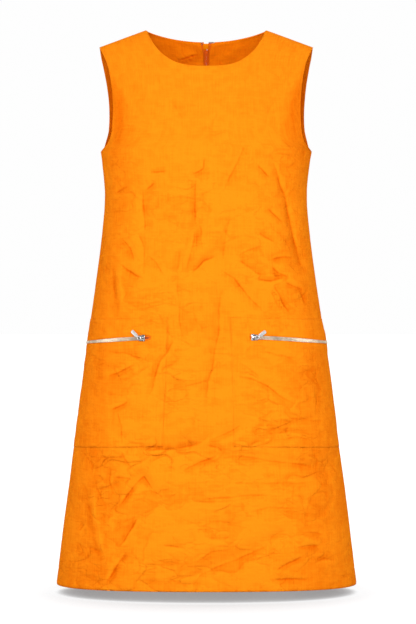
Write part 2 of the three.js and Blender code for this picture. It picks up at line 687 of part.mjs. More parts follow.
// A frame on the back at a height, with x up the cloth and z out of it
function backFrame(x, z) {
  const spot = (height) => new THREE.Vector3(x, Math.sqrt(depthSquared("back", x, height)) + GAP / 2, height);
  const frame = seatFrame(spot(z), spot(z + 1).sub(spot(z - 1)), normalAt("back", x, z));
  dress.add(frame);
  return frame;
}

const backSeat = backFrame(0, BACK_SLIDER_Z);
addMesh(backSeat, "back_slider", geometryOf(backSliderBody()), materials.enamel);
const backSwing = new THREE.Group(); // turns about the hinge line through the crown
backSwing.position.z = BACK_HINGE_HEIGHT;
backSwing.rotation.y = THREE.MathUtils.degToRad(BACK_TAB.rest);
backSeat.add(backSwing);
addMesh(backSwing, "back_tab", geometryOf(backTab()), materials.enamel);

// ---- Hook and eye inside the top of the back opening: loops of wire, one across and one upright ----
const WIRE = 0.8;
const HOOK = { x: 9.7, z: -12.3, halfHeight: 1.3, halfWidth: 5.3 };
const EYE = { x: -7.2, z: -13.8, halfHeight: 2.3, halfWidth: 2 };
for (const [name, loop] of Object.entries({ back_hook: HOOK, back_eye: EYE })) {
  const shape = new THREE.Shape();
  shape.absellipse(0, 0, loop.halfHeight, loop.halfWidth, 0, 2 * Math.PI, false);
  const hole = new THREE.Path();
  hole.absellipse(0, 0, loop.halfHeight - WIRE, loop.halfWidth - WIRE, 0, 2 * Math.PI, true);
  shape.holes.push(hole);
  const top = tapeLow - GAP;
  addMesh(backFrame(loop.x, loop.z), name, plate(shape, top - WIRE, top), materials.nickel);
}

export default dress;
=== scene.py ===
"""A sleeveless A-line dress in crumpled linen, worn and hollow, with two zipped patch pockets.

Each cut piece of cloth lies on the form of its own solid, and the zips are finished tooth by tooth.
Tables and lengths named in capitals are millimetres, and meshes are metres.
"""

import math

import bmesh
import bpy
import numpy as np
from mathutils import Matrix, Vector, noise


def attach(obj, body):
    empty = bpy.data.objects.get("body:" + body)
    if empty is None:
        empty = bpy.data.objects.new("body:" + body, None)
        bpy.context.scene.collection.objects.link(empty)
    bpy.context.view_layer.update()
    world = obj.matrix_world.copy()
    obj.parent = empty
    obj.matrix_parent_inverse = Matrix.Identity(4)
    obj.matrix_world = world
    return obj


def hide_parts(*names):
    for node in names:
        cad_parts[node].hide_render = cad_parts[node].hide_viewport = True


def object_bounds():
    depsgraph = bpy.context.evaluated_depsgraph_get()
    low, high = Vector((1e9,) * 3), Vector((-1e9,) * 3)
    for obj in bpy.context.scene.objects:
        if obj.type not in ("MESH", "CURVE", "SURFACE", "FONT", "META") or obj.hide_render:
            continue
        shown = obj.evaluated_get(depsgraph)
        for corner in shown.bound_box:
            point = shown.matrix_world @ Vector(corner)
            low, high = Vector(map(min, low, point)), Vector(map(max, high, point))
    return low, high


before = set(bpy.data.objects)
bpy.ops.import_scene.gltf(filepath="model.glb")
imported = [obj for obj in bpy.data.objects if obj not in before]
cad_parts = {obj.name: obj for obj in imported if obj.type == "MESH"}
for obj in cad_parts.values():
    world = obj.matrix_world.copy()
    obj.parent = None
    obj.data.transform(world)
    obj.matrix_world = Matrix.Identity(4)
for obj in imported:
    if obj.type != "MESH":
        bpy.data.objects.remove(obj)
CAD_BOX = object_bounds()

bl_info = {
    "name": "Linen A-line dress",
    "version": (1, 0, 0),
    "blender": (4, 5, 0),
    "location": "3D View > Sidebar > Dress",
    "description": "Dresses the packed model of a sleeveless linen dress with zipped patch pockets",
    "category": "Object",
}

MM = 0.001
SIDES = {"left": -1, "right": 1}

# ---- The cut, the same as the solids' ----
TAPE = 0.6  # thickness of a zip's tape
GAP = 0.3  # left between pieces that touch
PATCH_RISE = 1.2  # how far the patch stands off the front beside its zip
SEWN_RISE = 0.06  # how far it stands off where it is sewn down
NECK_HALF_WIDTH = 97
FRONT_NECK_DROP = 67.5
BACK_NECK_DROP = 11
BACK_NECK_SAG = 1.8  # how far the cloth sinks below the hook and eye
FRONT_NECK_BREADTH = 3  # over 2 makes the bottom of the curve broader than a parabola
FRONT_NECK_FULLNESS = 0.78  # under 1 makes its two ends steeper
SHOULDER_HALF_WIDTH = 175
SHOULDER_SLOPE = 0.385
SHOULDER_ROUND = 50  # how softly the two shoulder slopes meet behind the neck
ARMPIT_Z = -201
HEM_SIDE_Z = -906.5
GIRTH_EASE = 1.02  # cloth to the length of an ellipse's quarter of the same half axes
SQUARENESS = 2.2  # exponent of a section, where 2 is an ellipse
ROLL_HEIGHT = {"front": 380, "back": 240}
SECTIONS = {
    "z": (0, -60, -120, -160, -201, -228, -277, -330, -400, -500, -700, -908),
    "half": (202, 200, 194, 185, 173, 168, 165.4, 169.6, 178.4, 193.5, 219.6, 245),
    "front": (132, 132, 132, 133, 134, 134, 135, 135, 136, 138, 144, 150),
    "back": (108, 110, 110, 109, 108, 107, 105, 107, 111, 116, 124, 132),
}
ARMHOLE = {
    "z": (-29, -43, -60, -90, -125, -160, -180, -192, -201),
    "front": (175, 168, 161, 154.8, 151.4, 152.2, 155.4, 161.8, 173),
    "back": (175, 173.3, 170, 165.2, 162.4, 163.2, 167.2, 170, 173),
}
# Rows of the front as (height at the centre, how far the row sinks at the side seams)
HEM = (-903, 3.5)
POCKET_BOTTOM = (-675, 7)
ZIP_Z, ZIP_DROOP = -501, 11
SLOT_HALF_HEIGHT = 4.6  # of the solids' slot, which leaves room round the slider
ZIP_SLOT = 2.8  # half height of the cloth's slit over the teeth
TAPE_HALF_HEIGHT = 9
POCKET_TOP = (-471, 2.5)
WAIST = (-400, 0)
BACK_HEM = (HEM_SIDE_Z, 0)
BACK_ZIP_END_Z = -520
POCKETS = {
    "left": {"side": -1, "inner": -0.32, "slot_end": -0.455, "slider": -0.52},
    "right": {"side": 1, "inner": 0.2, "slot_end": 0.35, "slider": 0.398},
}
PATCH_GIRTH, ZIP_GIRTH = 280, 265  # from the middle to the side seam round a patch, and round a zip
FACING_FOOT_Z = -236
BACK_FACING_EDGE = 4.7  # from the centre back to the facing's edge beside the zip
INNER_CLEARANCE = 0.25  # between the cloth and what is turned in or faced
SEAM_ALLOWANCE = 11
MOUTH_WALL = 0.2
BACK_NOTCH = {"half": 4.1, "top": -BACK_NECK_DROP, "bottom": -36}
BACK_SLIDER_Z = -18

# How the worn dress hangs a little off true: sway moves it sideways, and spread moves its side seams out
HANG = {
    "z": (0, -50, -110, -170, -200, -224, -260, -400, -480, -500, -560, -660, -690, -740, -800, -906),
    "sway": (0.6, 0.8, 1.6, 1.4, 0.9, 0.4, 0.2, 0.2, 0.6, 1.6, 1.7, 1.3, 1.2, 1.5, 1.2, 1.2),
    "spread": (0.0, 0.4, 0.1, -0.2, -0.2, 1.1, 0.2, 0.0, -0.4, -0.6, -0.9, -1.2, -0.2, 0.3, 1.0, 1.0),
}

CREASE_REACH = 20  # how far from a crease the cloth's finish still knows of it

# Painted shade towards the cloth's side edges, where it turns away from the light: how far in it reaches, and
# how strong it is
PAINTED_SIDE_SHADE = {
    "z": (0, -70, -105, -150, -200, -260, -480, -700, -906),
    "reach": (20, 35, 72, 92, 104, 114, 130, 165, 190),
    "strength": (0.0, 0.4, 2.1, 2.3, 1.9, 1.5, 1.5, 1.5, 1.7),
}

# Broad creases, the same as the solids': from one end to the other in the front view, lift and width
BROAD_CREASES = {
    "front": (
        (-17, -240, -15, -335, -4.5, 14),
        (-98, -272, -96, -385, -3.5, 14),
        (64, -198, 26, -272, -3.5, 14),
        (43, -285, 26, -384, -3, 14),
        (-24, -398, 18, -374, -5, 16),
        (26, -400, 94, -460, -4, 14),
        (25, -420, 2, -640, -4.5, 16),
        (-45, -412, -36, -508, -3, 14),
        (112, -222, 152, -380, -4, 16),
        (-115, -677, -26, -677, -4, 16),
        (-26, -677, 58, -640, -5, 16),
        (-93, -706, -46, -684, -4, 16),
        (-36, -710, 22, -686, -4.5, 16),
        (-142, -772, -106, -724, -4, 16),
        (-106, -724, -70, -762, -3.5, 14),
        (-142, -840, -108, -786, -4, 16),
        (20, -690, 190, -716, -3.5, 17),
        (-10, -874, 118, -817, -3.5, 17),
    ),
    "back": (
        (-120, -150, -60, -210, -3.5, 17),
        (118, -160, 66, -232, -4, 17),
        (-40, -300, -120, -352, -4, 17),
        (46, -318, 128, -366, -4, 17),
        (-60, -430, -44, -600, -4, 18),
        (70, -452, 86, -640, -4, 18),
        (-150, -690, -50, -668, -4, 18),
        (60, -742, 158, -706, -4, 18),
        (-120, -840, -40, -800, -3.5, 18),
        (40, -862, 140, -838, -3.5, 18),
    ),
}

# Sharp creases, each (path, depth, width, ridge): ridge is the height of the lip beside the trough as a share
# of its depth, on the left of the path where it is positive and on the right where it is negative
FOLDS = {
    "front": (
        # chest and ribs
        (((-90, -241), (-60, -239)), 1.9, 4.5, -0.2),
        (((-25, -245), (-4, -234), (1, -212)), 2.0, 7, 0.2),
        (((-17, -245), (-17, -268), (-19, -302), (-18, -325), (-14, -334)), 2.0, 4, 0.2),
        (((-15, -326), (-21, -353), (-28, -383), (-31, -402)), 1.3, 5, -0.6),
        (((-13, -320), (-8, -330), (-9, -347), (-5, -368)), 1.5, 5, 0.6),
        (((-98, -268), (-79, -256)), 2.0, 4.5, 0.2),
        (((-102, -262), (-101, -310), (-99, -339)), 1.8, 6, -0.2),
        (((66, -191), (51, -226), (29, -267), (23, -279)), 1.4, 6, -0.3),
        (((104, -206), (117, -244), (129, -274), (134, -298), (146, -347), (161, -407)), 2.1, 5, 0.4),
        (((81, -227), (106, -250)), 2.0, 4.5, 0.2),
        (((97, -297), (127, -321)), 2.1, 5, 0.2),
        (((84, -335), (112, -353)), 2.4, 4.5, -0.4),
        (((50, -375), (67, -364), (96, -358)), 1.2, 5, 0.2),
        (((127, -345), (140, -366)), 0.9, 5, -0.3),
        (((104, -380), (124, -376), (142, -375)), 2.2, 4, 0.2),
        (((106, -390), (118, -400), (136, -408)), 2.3, 4.5, 0.5),
        (((49, -380), (80, -401), (100, -408)), 1.5, 4.5, -0.3),
        (((78, -412), (106, -412), (133, -406)), 2.6, 3.5, -0.2),
        (((128, -415), (158, -425)), 2.3, 3.5, 0.7),
        (((108, -413), (123, -446), (136, -470)), 2.2, 5, -0.2),
        (((103, -426), (112, -446), (119, -464)), 1.5, 5, -0.4),
        (((150, -424), (157, -437), (160, -452)), 1.4, 4, -0.3),
        (((17, -394), (30, -398), (44, -408), (58, -426), (95, -464)), 2.2, 4, 0.3),
        (((-25, -402), (-3, -382), (20, -373)), 2.5, 7, -0.3),
        (((42, -288), (37, -317), (30, -344), (29, -369), (32, -396)), 0.9, 6, 0.2),
        (((24, -412), (22, -451), (19, -489), (15, -513), (8, -553), (0, -572), (-1, -645)), 1.6, 7, 0.2),
        (((-40, -364), (-43, -390), (-49, -404)), 1.0, 5, 0.2),
        (((-46, -402), (-46, -431), (-42, -480), (-38, -516)), 1.2, 7, -0.2),
        (((-136, -344), (-122, -360), (-115, -384)), 2.3, 5, 0.6),
        (((-111, -332), (-101, -358), (-98, -395)), 1.3, 6, -0.5),
        (((-141, -385), (-120, -398), (-97, -413)), 2.5, 3.8, 0.2),
        (((-97, -369), (-79, -384), (-64, -410)), 1.5, 6, 0.3),
        (((-146, -272), (-122, -258)), 1.5, 6, 0.2),
        (((-139, -384), (-138, -410), (-136, -431), (-129, -470)), -1.8, 7, 0.0),
        (((-148, -386), (-149, -420), (-144, -458)), 0.8, 5, -0.2),
        (((-128, -446), (-92, -450), (-58, -444)), 0.9, 7, 0.4),
        (((30, -130), (12, -158), (8, -190)), 0.3, 8, 0.4),
        (((-60, -120), (-40, -150), (-36, -182)), 0.5, 8, -0.4),
        (((110, -120), (96, -150), (92, -176)), 0.6, 8, 0.4),
        # hips and pockets
        (((-49, -500), (-62, -526), (-76, -542), (-82, -562), (-93, -604)), 2.0, 4.5, 0.2),
        (((-69, -543), (-40, -538)), 0.4, 6, 0.2),
        (((-165, -526), (-131, -528), (-93, -540)), 1.4, 9, -0.2),
        (((-160, -566), (-138, -557), (-109, -543)), 1.9, 7, 0.3),
        (((-151, -619), (-123, -603)), 3.0, 6, 0.6),
        (((-143, -616), (-135, -646), (-135, -672)), 1.6, 6, 0.2),
        (((43, -562), (71, -568), (97, -579), (117, -596), (141, -610)), 2.0, 7, 0.2),
        (((46, -539), (68, -554), (90, -573)), 1.1, 8, 0.4),
        (((118, -606), (99, -637), (75, -666)), -1.2, 8, 0.0),
        (((86, -524), (112, -530), (146, -536)), 1.5, 7, 0.2),
        (((120, -664), (142, -661), (166, -668)), 1.5, 6, 0.2),
        (((152, -553), (174, -575), (186, -596)), 0.7, 7, -0.2),
        (((108, -634), (152, -632), (196, -638)), 1.0, 8, 0.2),
        (((90, -655), (130, -652), (178, -660)), 1.0, 7, -0.4),
        # below the pockets
        (((-118, -679), (-90, -681), (-62, -679), (-34, -676), (-9, -669), (8, -651)), 1.6, 5, -0.5),
        (((-92, -701), (-72, -692), (-58, -687)), 1.6, 6, -0.3),
        (((2, -665), (33, -653), (62, -637)), 1.7, 6, 0.7),
        (((-1, -672), (16, -676), (28, -687)), 1.6, 4.5, -0.2),
        (((-39, -715), (-9, -699), (21, -687)), 2.3, 4.5, 0.5),
        (((-145, -777), (-128, -752), (-104, -723), (-95, -731), (-72, -757)), 2.5, 6, 0.7),
        (((-138, -679), (-122, -706), (-107, -725)), 1.3, 6, 0.5),
        (((-147, -724), (-128, -727), (-114, -731)), 1.6, 5, 0.5),
        (((-149, -708), (-156, -728), (-150, -748), (-138, -760)), 1.2, 5, 0.3),
        (((-180, -722), (-176, -746), (-164, -766), (-156, -786)), 1.1, 6, 0.2),
        (((-142, -800), (-118, -789), (-76, -769)), 0.6, 7, 0.2),
        (((-108, -784), (-125, -811), (-142, -838)), 2.7, 4.5, 0.3),
        (((-126, -839), (-141, -860), (-161, -898)), 2.3, 8, -0.6),
        (((-176, -738), (-180, -764), (-174, -800), (-166, -834), (-153, -874)), -2.0, 8, 0.0),
        (((-196, -692), (-182, -706), (-187, -726)), 0.9, 5, 0.3),
        (((-203, -732), (-192, -752), (-190, -776)), 0.8, 6, 0.3),
        (((-214, -830), (-192, -840), (-186, -862)), 0.9, 5, 0.5),
        (((-205, -815), (-196, -800)), 1.9, 5, -0.3),
        (((19, -693), (56, -690), (105, -698), (155, -705), (195, -716)), 1.5, 7, 0.6),
        (((-22, -759), (40, -753), (84, -752), (126, -756)), 1.4, 7, 0.4),
        (((16, -730), (90, -733), (190, -735)), 1.0, 10, 0.4),
        (((22, -792), (58, -803), (78, -813)), 0.7, 7, -0.2),
        (((98, -823), (114, -812), (128, -806)), 1.3, 5, 0.5),
        (((146, -812), (170, -814), (190, -818)), 1.1, 7, 0.4),
        (((-17, -856), (10, -841), (42, -835)), 1.3, 6, 0.5),
        (((-95, -845), (-66, -859), (-32, -857)), 0.9, 6, -0.4),
        (((-62, -882), (-38, -891), (-24, -901)), 0.8, 6, 0.2),
        (((-27, -900), (-8, -875), (24, -862), (73, -842), (120, -818)), 1.3, 7, 0.4),
        (((108, -873), (132, -859), (157, -849)), 2.5, 5, 0.5),
        (((142, -837), (184, -834)), 1.9, 3.6, 0.5),
        (((166, -862), (188, -856), (210, -861)), 1.2, 6, -0.5),
        (((98, -886), (132, -886), (170, -884)), 2.5, 4, 0.3),
        (((-70, -831), (-30, -834)), 2.1, 6, -0.3),
        (((2, -820), (42, -817)), 1.5, 6, -0.3),
        (((-60, -780), (-20, -796), (30, -790)), 0.9, 9, 0.4),
        (((60, -780), (100, -770), (150, -776)), 1.2, 8, 0.4),
    ),
    "back": (
        (((-52, -41), (-30, -33), (-8, -28)), 3.2, 6, 0.6),
        (((22, -40), (30, -58), (33, -80)), 1.8, 5, 0.5),
        (((-122, -148), (-92, -178), (-58, -212)), 1.5, 5, 0.7),
        (((-140, -176), (-112, -214)), 1.0, 6, 0.5),
        (((120, -158), (92, -196), (64, -234)), 1.6, 5, -0.7),
        (((142, -182), (118, -226)), 1.0, 6, -0.5),
        (((-38, -298), (-78, -330), (-122, -354)), 1.7, 4.5, 0.8),
        (((-24, -338), (-60, -368), (-98, -390)), 1.3, 6, 0.5),
        (((44, -316), (90, -344), (130, -368)), 1.6, 4.5, -0.8),
        (((30, -358), (62, -384), (112, -398)), 1.2, 6, -0.5),
        (((-150, -400), (-112, -412), (-70, -404)), 1.3, 4.5, 0.6),
        (((152, -408), (118, -424), (84, -418)), 1.3, 4.5, -0.6),
        (((-62, -428), (-52, -516), (-43, -604)), 1.8, 6, 0.6),
        (((-110, -452), (-98, -520), (-102, -590)), 1.2, 8, -0.5),
        (((71, -450), (80, -548), (87, -642)), 1.8, 6, -0.6),
        (((124, -470), (130, -540), (118, -600)), 1.2, 8, 0.5),
        (((-152, -692), (-100, -684), (-48, -668)), 1.6, 6, 0.7),
        (((-128, -726), (-82, -716)), 1.1, 7, 0.5),
        (((58, -744), (110, -728), (160, -706)), 1.6, 6, 0.7),
        (((84, -690), (132, -676), (170, -680)), 1.1, 8, 0.4),
        (((-122, -842), (-82, -824), (-38, -800)), 1.5, 6, 0.7),
        (((-180, -800), (-160, -850), (-168, -890)), 1.3, 8, -0.5),
        (((38, -864), (92, -852), (142, -838)), 1.4, 6, 0.6),
        (((150, -780), (128, -806), (132, -840)), 1.3, 6, 0.6),
        (((-96, -756), (-58, -770), (-20, -764)), 1.0, 8, 0.4),
        (((20, -560), (44, -590), (40, -630)), 1.0, 8, 0.4),
    ),
}


# ---- Form of the dress ----
def smooth(t):
    t = np.clip(t, 0.0, 1.0)
    return t * t * (3 - 2 * t)


def bell(value, width):
    """One in the middle, and falling to nothing over about twice the width."""
    return np.exp(-((value / width) ** 2))


def read_table(table, column, z):
    """A smooth curve through one column of a table whose z falls from row to row."""
    zs, values = np.array(table["z"], float), np.array(table[column], float)
    last = len(zs) - 1
    z = np.clip(z, zs[last], zs[0])
    i = np.clip(np.searchsorted(-zs, -z, side="right") - 1, 0, last - 1)
    k = np.arange(last + 1)
    before, after = np.maximum(k - 1, 0), np.minimum(k + 1, last)
    slopes = (values[after] - values[before]) / (zs[after] - zs[before])
    span = zs[i + 1] - zs[i]
    t = (z - zs[i]) / span
    t2, t3 = t * t, t * t * t
    return (
        (2 * t3 - 3 * t2 + 1) * values[i]
        + (t3 - 2 * t2 + t) * span * slopes[i]
        + (3 * t2 - 2 * t3) * values[i + 1]
        + (t3 - t2) * span * slopes[i + 1]
    )


def shoulder_line(x):
    crest = SHOULDER_SLOPE * math.hypot(NECK_HALF_WIDTH, SHOULDER_ROUND)
    return crest - SHOULDER_SLOPE * np.hypot(x, SHOULDER_ROUND)


def neckline(face, x):
    share = np.minimum(1, np.abs(x) / NECK_HALF_WIDTH)
    if face == "front":
        return -FRONT_NECK_DROP * (1 - share**FRONT_NECK_BREADTH) ** FRONT_NECK_FULLNESS
    return -(BACK_NECK_DROP + BACK_NECK_SAG) * (1 - share**2)


def top_edge(face, x):
    """Height of the neckline or, outside it, of the shoulder seam."""
    return np.where(np.abs(x) < NECK_HALF_WIDTH, neckline(face, x), shoulder_line(x))


def depth_squared(face, x, z):
    """Square of how far the smooth cloth stands from the plane of the side seams."""
    share = np.minimum(1, np.abs(x) / read_table(SECTIONS, "half", z))
    across = (1 - share**SQUARENESS) ** (2 / SQUARENESS)
    drop = np.clip((shoulder_line(x) - z) / ROLL_HEIGHT[face], 0, 1)
    return read_table(SECTIONS, face, z) ** 2 * across * (2 * drop - drop * drop)


def normal_at(face, x, z):
    """Outward normal of the smooth cloth."""
    sign = -1 if face == "front" else 1
    half = read_table(SECTIONS, "half", z)
    inside = np.clip(x, -0.998 * half, 0.998 * half)
    step = 0.05
    across = (depth_squared(face, inside + step, z) - depth_squared(face, inside - step, z)) / (2 * step)
    up = (depth_squared(face, inside, z + step) - depth_squared(face, inside, z - step)) / (2 * step)
    normal = np.stack([-across, 2 * sign * np.sqrt(depth_squared(face, x, z)), -up], axis=-1)
    return normal / np.linalg.norm(normal, axis=-1, keepdims=True)


def place_of(face, share, row_z, droop, step):
    """Front-view place of a spot. step runs from 1 at the armpit and below to 0 at the top edge."""
    low_z = row_z - droop * share * share
    low_x = share * read_table(SECTIONS, "half", low_z)
    top_x = share * SHOULDER_HALF_WIDTH
    in_neck = np.abs(top_x) < NECK_HALF_WIDTH
    top_z = top_edge(face, top_x)
    bend = np.where(in_neck, 0.3 + 0.7 * smooth(np.abs(top_x) / NECK_HALF_WIDTH), 1.0)
    fall = bend * step * step + (1 - bend) * step
    tip_z = shoulder_line(SHOULDER_HALF_WIDTH)
    edge_z = tip_z + (ARMPIT_Z - tip_z) * step * step
    high_x = share * read_table(ARMHOLE, face, edge_z)
    high_z = top_z + (ARMPIT_Z - top_z) * fall
    below = step >= 1
    return np.where(below, low_x, high_x), np.where(below, low_z, high_z)


def column_angle(share):
    """How far round the section a share of the half width lies: 1 is at the side seam."""
    return np.arcsin(np.clip(share, -1, 1)) / (math.pi / 2)


def share_at(angle):
    """The share of the half width that lies so far round the section."""
    return np.sin(angle * math.pi / 2)


def cloth_width(a, b, girth):
    """Length of cloth, in metres, between two columns, where the side seam is a girth from the middle."""
    return abs(column_angle(a) - column_angle(b)) * girth * MM


def quarter_girth(face, z):
    """Length of cloth from the centre to the side seam at a height."""
    half, depth = read_table(SECTIONS, "half", z), read_table(SECTIONS, face, z)
    return math.pi / 2 * np.sqrt((half**2 + depth**2) / 2) * GIRTH_EASE


def back_parting(z, seam):
    notch = BACK_NOTCH
    return seam + notch["half"] * smooth((z - notch["bottom"]) / (notch["top"] - notch["bottom"]))


def noise_field(x, z, size, seed):
    """Smooth noise over the front view, with features of about that size."""
    flat = [
        noise.noise(Vector((a / size, b / size, seed)))
        for a, b in zip(x.ravel().tolist(), z.ravel().tolist())
    ]
    return np.array(flat).reshape(x.shape)


def along_path(path, x, z):
    """How far each spot is from a path, its side (1 on the left, -1 on the right), how far along the path it
    is, and how long the whole path is."""
    away, side, run = np.full(x.shape, 1e9), np.ones(x.shape), np.zeros(x.shape)
    length = 0.0
    for (x0, z0), (x1, z1) in zip(path[:-1], path[1:]):
        step = math.hypot(x1 - x0, z1 - z0)
        ax, az = (x1 - x0) / step, (z1 - z0) / step
        t = np.clip((x - x0) * ax + (z - z0) * az, 0, step)
        ox, oz = x - x0 - t * ax, z - z0 - t * az
        closer = np.hypot(ox, oz) < away
        away = np.where(closer, np.hypot(ox, oz), away)
        side = np.where(closer, np.sign(ax * oz - az * ox), side)
        run = np.where(closer, length + t, run)
        length += step
    return away, side, run, length


def broad_lift(face, share, x, z):
    """The broad creases of the solids."""
    lift = np.zeros_like(x)
    for x0, z0, x1, z1, height, width in BROAD_CREASES[face]:
        lift += height * bell(along_path(((x0, z0), (x1, z1)), x, z)[0], width)
    return lift * smooth((1 - np.abs(share)) / 0.1) * smooth((shoulder_line(x) - z) / 60)


def fold_fields(face, x, z):
    """The sharp creases: the lift that they give the cloth, and for the weave's finish the signed distance to
    the nearest crease, how deep it is pressed there, and the painted light and shade of the cloth beside it."""
    lift, nearest = np.zeros_like(x), np.zeros_like(x)
    away_field, depth_field, painted_shading_field = np.full_like(x, CREASE_REACH), np.zeros_like(x), np.zeros_like(x)
    for path, depth, width, ridge in FOLDS[face]:
        reach = 4 * width + 8
        low, high = np.min(path, axis=0) - reach, np.max(path, axis=0) + reach
        near = (x > low[0]) & (x < high[0]) & (z > low[1]) & (z < high[1])
        if not near.any():
            continue
        away, side, run, length = along_path(path, x[near], z[near])
        # It fades out at both ends, and is wider and pressed harder in some places than in others
        pressed = smooth(run / (0.25 * length)) * smooth((length - run) / (0.3 * length))
        pressed = pressed * (0.8 + 0.2 * np.sin(run / 7.0 + depth * 9))
        across = side * away * (1 if ridge >= 0 else -1)
        s = across / (width * (1 + 0.25 * np.sin(run / 9.0)))
        lift[near] += depth * pressed * (abs(ridge) * bell(s - 1.7, 1.1) - bell(s, 1))
        # Painted light and shade: a trough is painted lit on the side of its ridge and shaded on the other,
        # and a ridge is painted lit on its top and shaded to one side
        if depth > 0:
            painted_shading = bell(across + 3.8, 3.4) - 0.9 * bell(across - 3.6, 3.0)
            painted_shading *= 0.35 + 1.15 * abs(ridge)
        else:
            painted_shading = 0.9 * bell(across + 9, 4.5) - 1.2 * bell(across, 4.5)
        painted_shading_field[near] += abs(depth) * pressed * painted_shading
        closeness = bell(away, 5) * pressed * abs(depth)
        wins = closeness > nearest[near]
        for field, value in (
            (nearest, closeness),
            (away_field, np.clip(side * away, -CREASE_REACH, CREASE_REACH)),
            (depth_field, depth * pressed * (1 - smooth((away - 5) / 3))),
        ):
            field[near] = np.where(wins, value, field[near])
    return lift, np.stack([away_field, depth_field, painted_shading_field], axis=-1)


def painted_side_shade(x, z, edge):
    """How much painted shade the cloth's colour takes at this distance in from its side edge, in uneven
    upright bands.
    """
    reach = read_table(PAINTED_SIDE_SHADE, "reach", z)
    strength = read_table(PAINTED_SIDE_SHADE, "strength", z) * (0.9 + 0.55 * noise_field(x * 2.4, z * 0.3, 30, 2.8))
    inner = smooth((1.3 * reach - edge) / (0.6 * reach))
    return strength * inner * (0.08 + 0.92 * smooth(edge / (0.3 * reach)))


def wander(x, z, seeds):
    """How far the creases stray one way from their drawn paths."""
    return 2.2 * noise_field(x, z, 34, seeds[0]) + 1.2 * noise_field(x, z, 13, seeds[1])


def crumples(x, z):
    """Small crumples: two nets of fine valleys that come and go, over slow swells."""
    calm = 0.45 + 0.55 * smooth((-60 - z) / 160)  # the chest is smoother than the skirt
    coarse, fine = noise_field(x, z, 62, 4.2), noise_field(x * 1.25, z, 27, 9.6)
    where = smooth(0.55 + 1.4 * noise_field(x, z, 90, 2.5))
    net = -1.0 * bell(coarse, 0.055) * where - 0.45 * bell(fine, 0.09) * (1 - 0.6 * where)
    swells = 1.3 * noise_field(x, z, 120, 5.5) + 0.55 * noise_field(x, z, 48, 7.9)
    return (net + swells) * calm


def seam_lift(face, x, z, edge, above_hem, hem_allowance):
    """Seams draw the cloth in, with small puckers beside them, and the turned hem shows as a fine line."""
    seam = np.where(z < ARMPIT_Z, 1.0, 0.55)
    pucker = noise_field(x * 0.3, z, 9, 2.2)
    lift = -seam * (0.75 * bell(edge, 2.2) + 0.25 * pucker * bell(edge, 9))
    hem_line = 0.3 + 0.7 * smooth(2.2 * noise_field(x, z * 0.1, 50, 6.6) + 0.35)
    lift -= 0.45 * hem_line * bell(above_hem - hem_allowance, 1.7) + 0.7 * bell(above_hem, 1.6)
    lift -= 0.55 * bell(top_edge(face, x) - z, 1.8)
    if face == "back":
        lift -= 0.8 * bell(x, 1.8) - 0.35 * bell(np.abs(x) - 5.5, 3)
    return lift


def relief(face, share, x, z, sizes):
    """How far the crumpled cloth stands from the smooth form, in millimetres, and its crease fields."""
    sharp, crease = fold_fields(face, x + wander(x, z, (1.3, 6.1)), z + wander(x, z, (8.7, 3.4)))
    edge = (1 - column_angle(np.abs(share))) * quarter_girth(face, z)
    fade = smooth(edge / 26) * (0.25 + 0.75 * smooth((shoulder_line(x) - z) / 70))
    if face == "front":
        # The slider and the slot keep the cloth beside a pocket's zip flat
        zip_z = ZIP_Z - ZIP_DROOP * share * share
        beside = smooth((-0.36 - share) / 0.06) + smooth((share - 0.26) / 0.06)
        fade = fade * (1 - 0.9 * bell(z - zip_z, 15) * beside)
        hem_z = HEM[0] - HEM[1] * share * share
    else:
        fade = fade * (1 - 0.85 * bell(x, 15))
        hem_z = BACK_HEM[0]
    pressed = sharp * sizes.fold_depth + crumples(x, z) * sizes.crumple_depth
    lift = broad_lift(face, share, x, z) + pressed * fade
    lift += seam_lift(face, x, z, edge, z - hem_z, sizes.hem_allowance / MM)
    crease[..., 1:] *= fade[..., None] * sizes.fold_depth
    # The painted side shade joins the painted light and shade beside the creases
    crease[..., 2] += painted_side_shade(x, z, edge)
    return lift, crease


def hang(x, z):
    """Where a sideways place really hangs."""
    apart = np.abs(x) / read_table(SECTIONS, "half", z)
    sway, spread = (np.interp(-z, -np.array(HANG["z"]), HANG[key]) for key in ("sway", "spread"))
    return x + sway + np.sign(x) * spread * smooth((apart - 0.5) / 0.5)


def cloth_spots(face, side, share, rows, out, sizes):
    """Points, normals, weave coordinates and crease fields. rows holds height, droop and step."""
    row_z, droop, step = (rows[..., k] for k in range(3))
    across, z = place_of(face, share, row_z, droop, step)
    seam = sizes.seam_gap / MM / 2
    if side == 0:
        x, sheet_x = across, across
    else:
        parting = back_parting(z, seam)
        x = side * (parting + across * (1 - parting / SHOULDER_HALF_WIDTH))
        sheet_x = side * across
    y = np.sqrt(depth_squared(face, across, z)) + seam
    normal = normal_at(face, sheet_x, z)
    point = np.stack([hang(x, z), -y if face == "front" else y, z], axis=-1)
    lift, crease = relief(face, share, x, z, sizes)
    point = point + normal * (lift + out)[..., None]
    girth = column_angle(share) * quarter_girth(face, z) * (side if side else 1)
    weave = np.stack([girth, z], axis=-1)
    return point, normal, weave, crease


def lower_rows(levels, counts):
    """Rows between (height, droop) levels, with the last level itself."""
    rows = []
    for (z0, d0), (z1, d1), count in zip(levels[:-1], levels[1:], counts):
        rows += [(z0 + (z1 - z0) * k / count, d0 + (d1 - d0) * k / count, 1.0) for k in range(count)]
    rows.append((*levels[-1], 1.0))
    return rows


def yoke_rows(count):
    """Rows from the armpit up to the top edge, close together at the foot of the armhole."""
    return [(ARMPIT_Z, 0.0, 1 - (k / count) ** 1.5) for k in range(1, count + 1)]


def rows_at(height, droop):
    """Rows below the armpit, for arrays of heights."""
    return np.stack([height, height * 0 + droop, height * 0 + 1], axis=-1)


def even_shares(keys, counts):
    """Columns spread evenly round the section between key columns."""
    shares = []
    for a, b, count in zip(keys[:-1], keys[1:], counts):
        a, b = column_angle(a), column_angle(b)
        shares += [share_at(a + (b - a) * k / count) for k in range(count)]
    return shares + [keys[-1]]


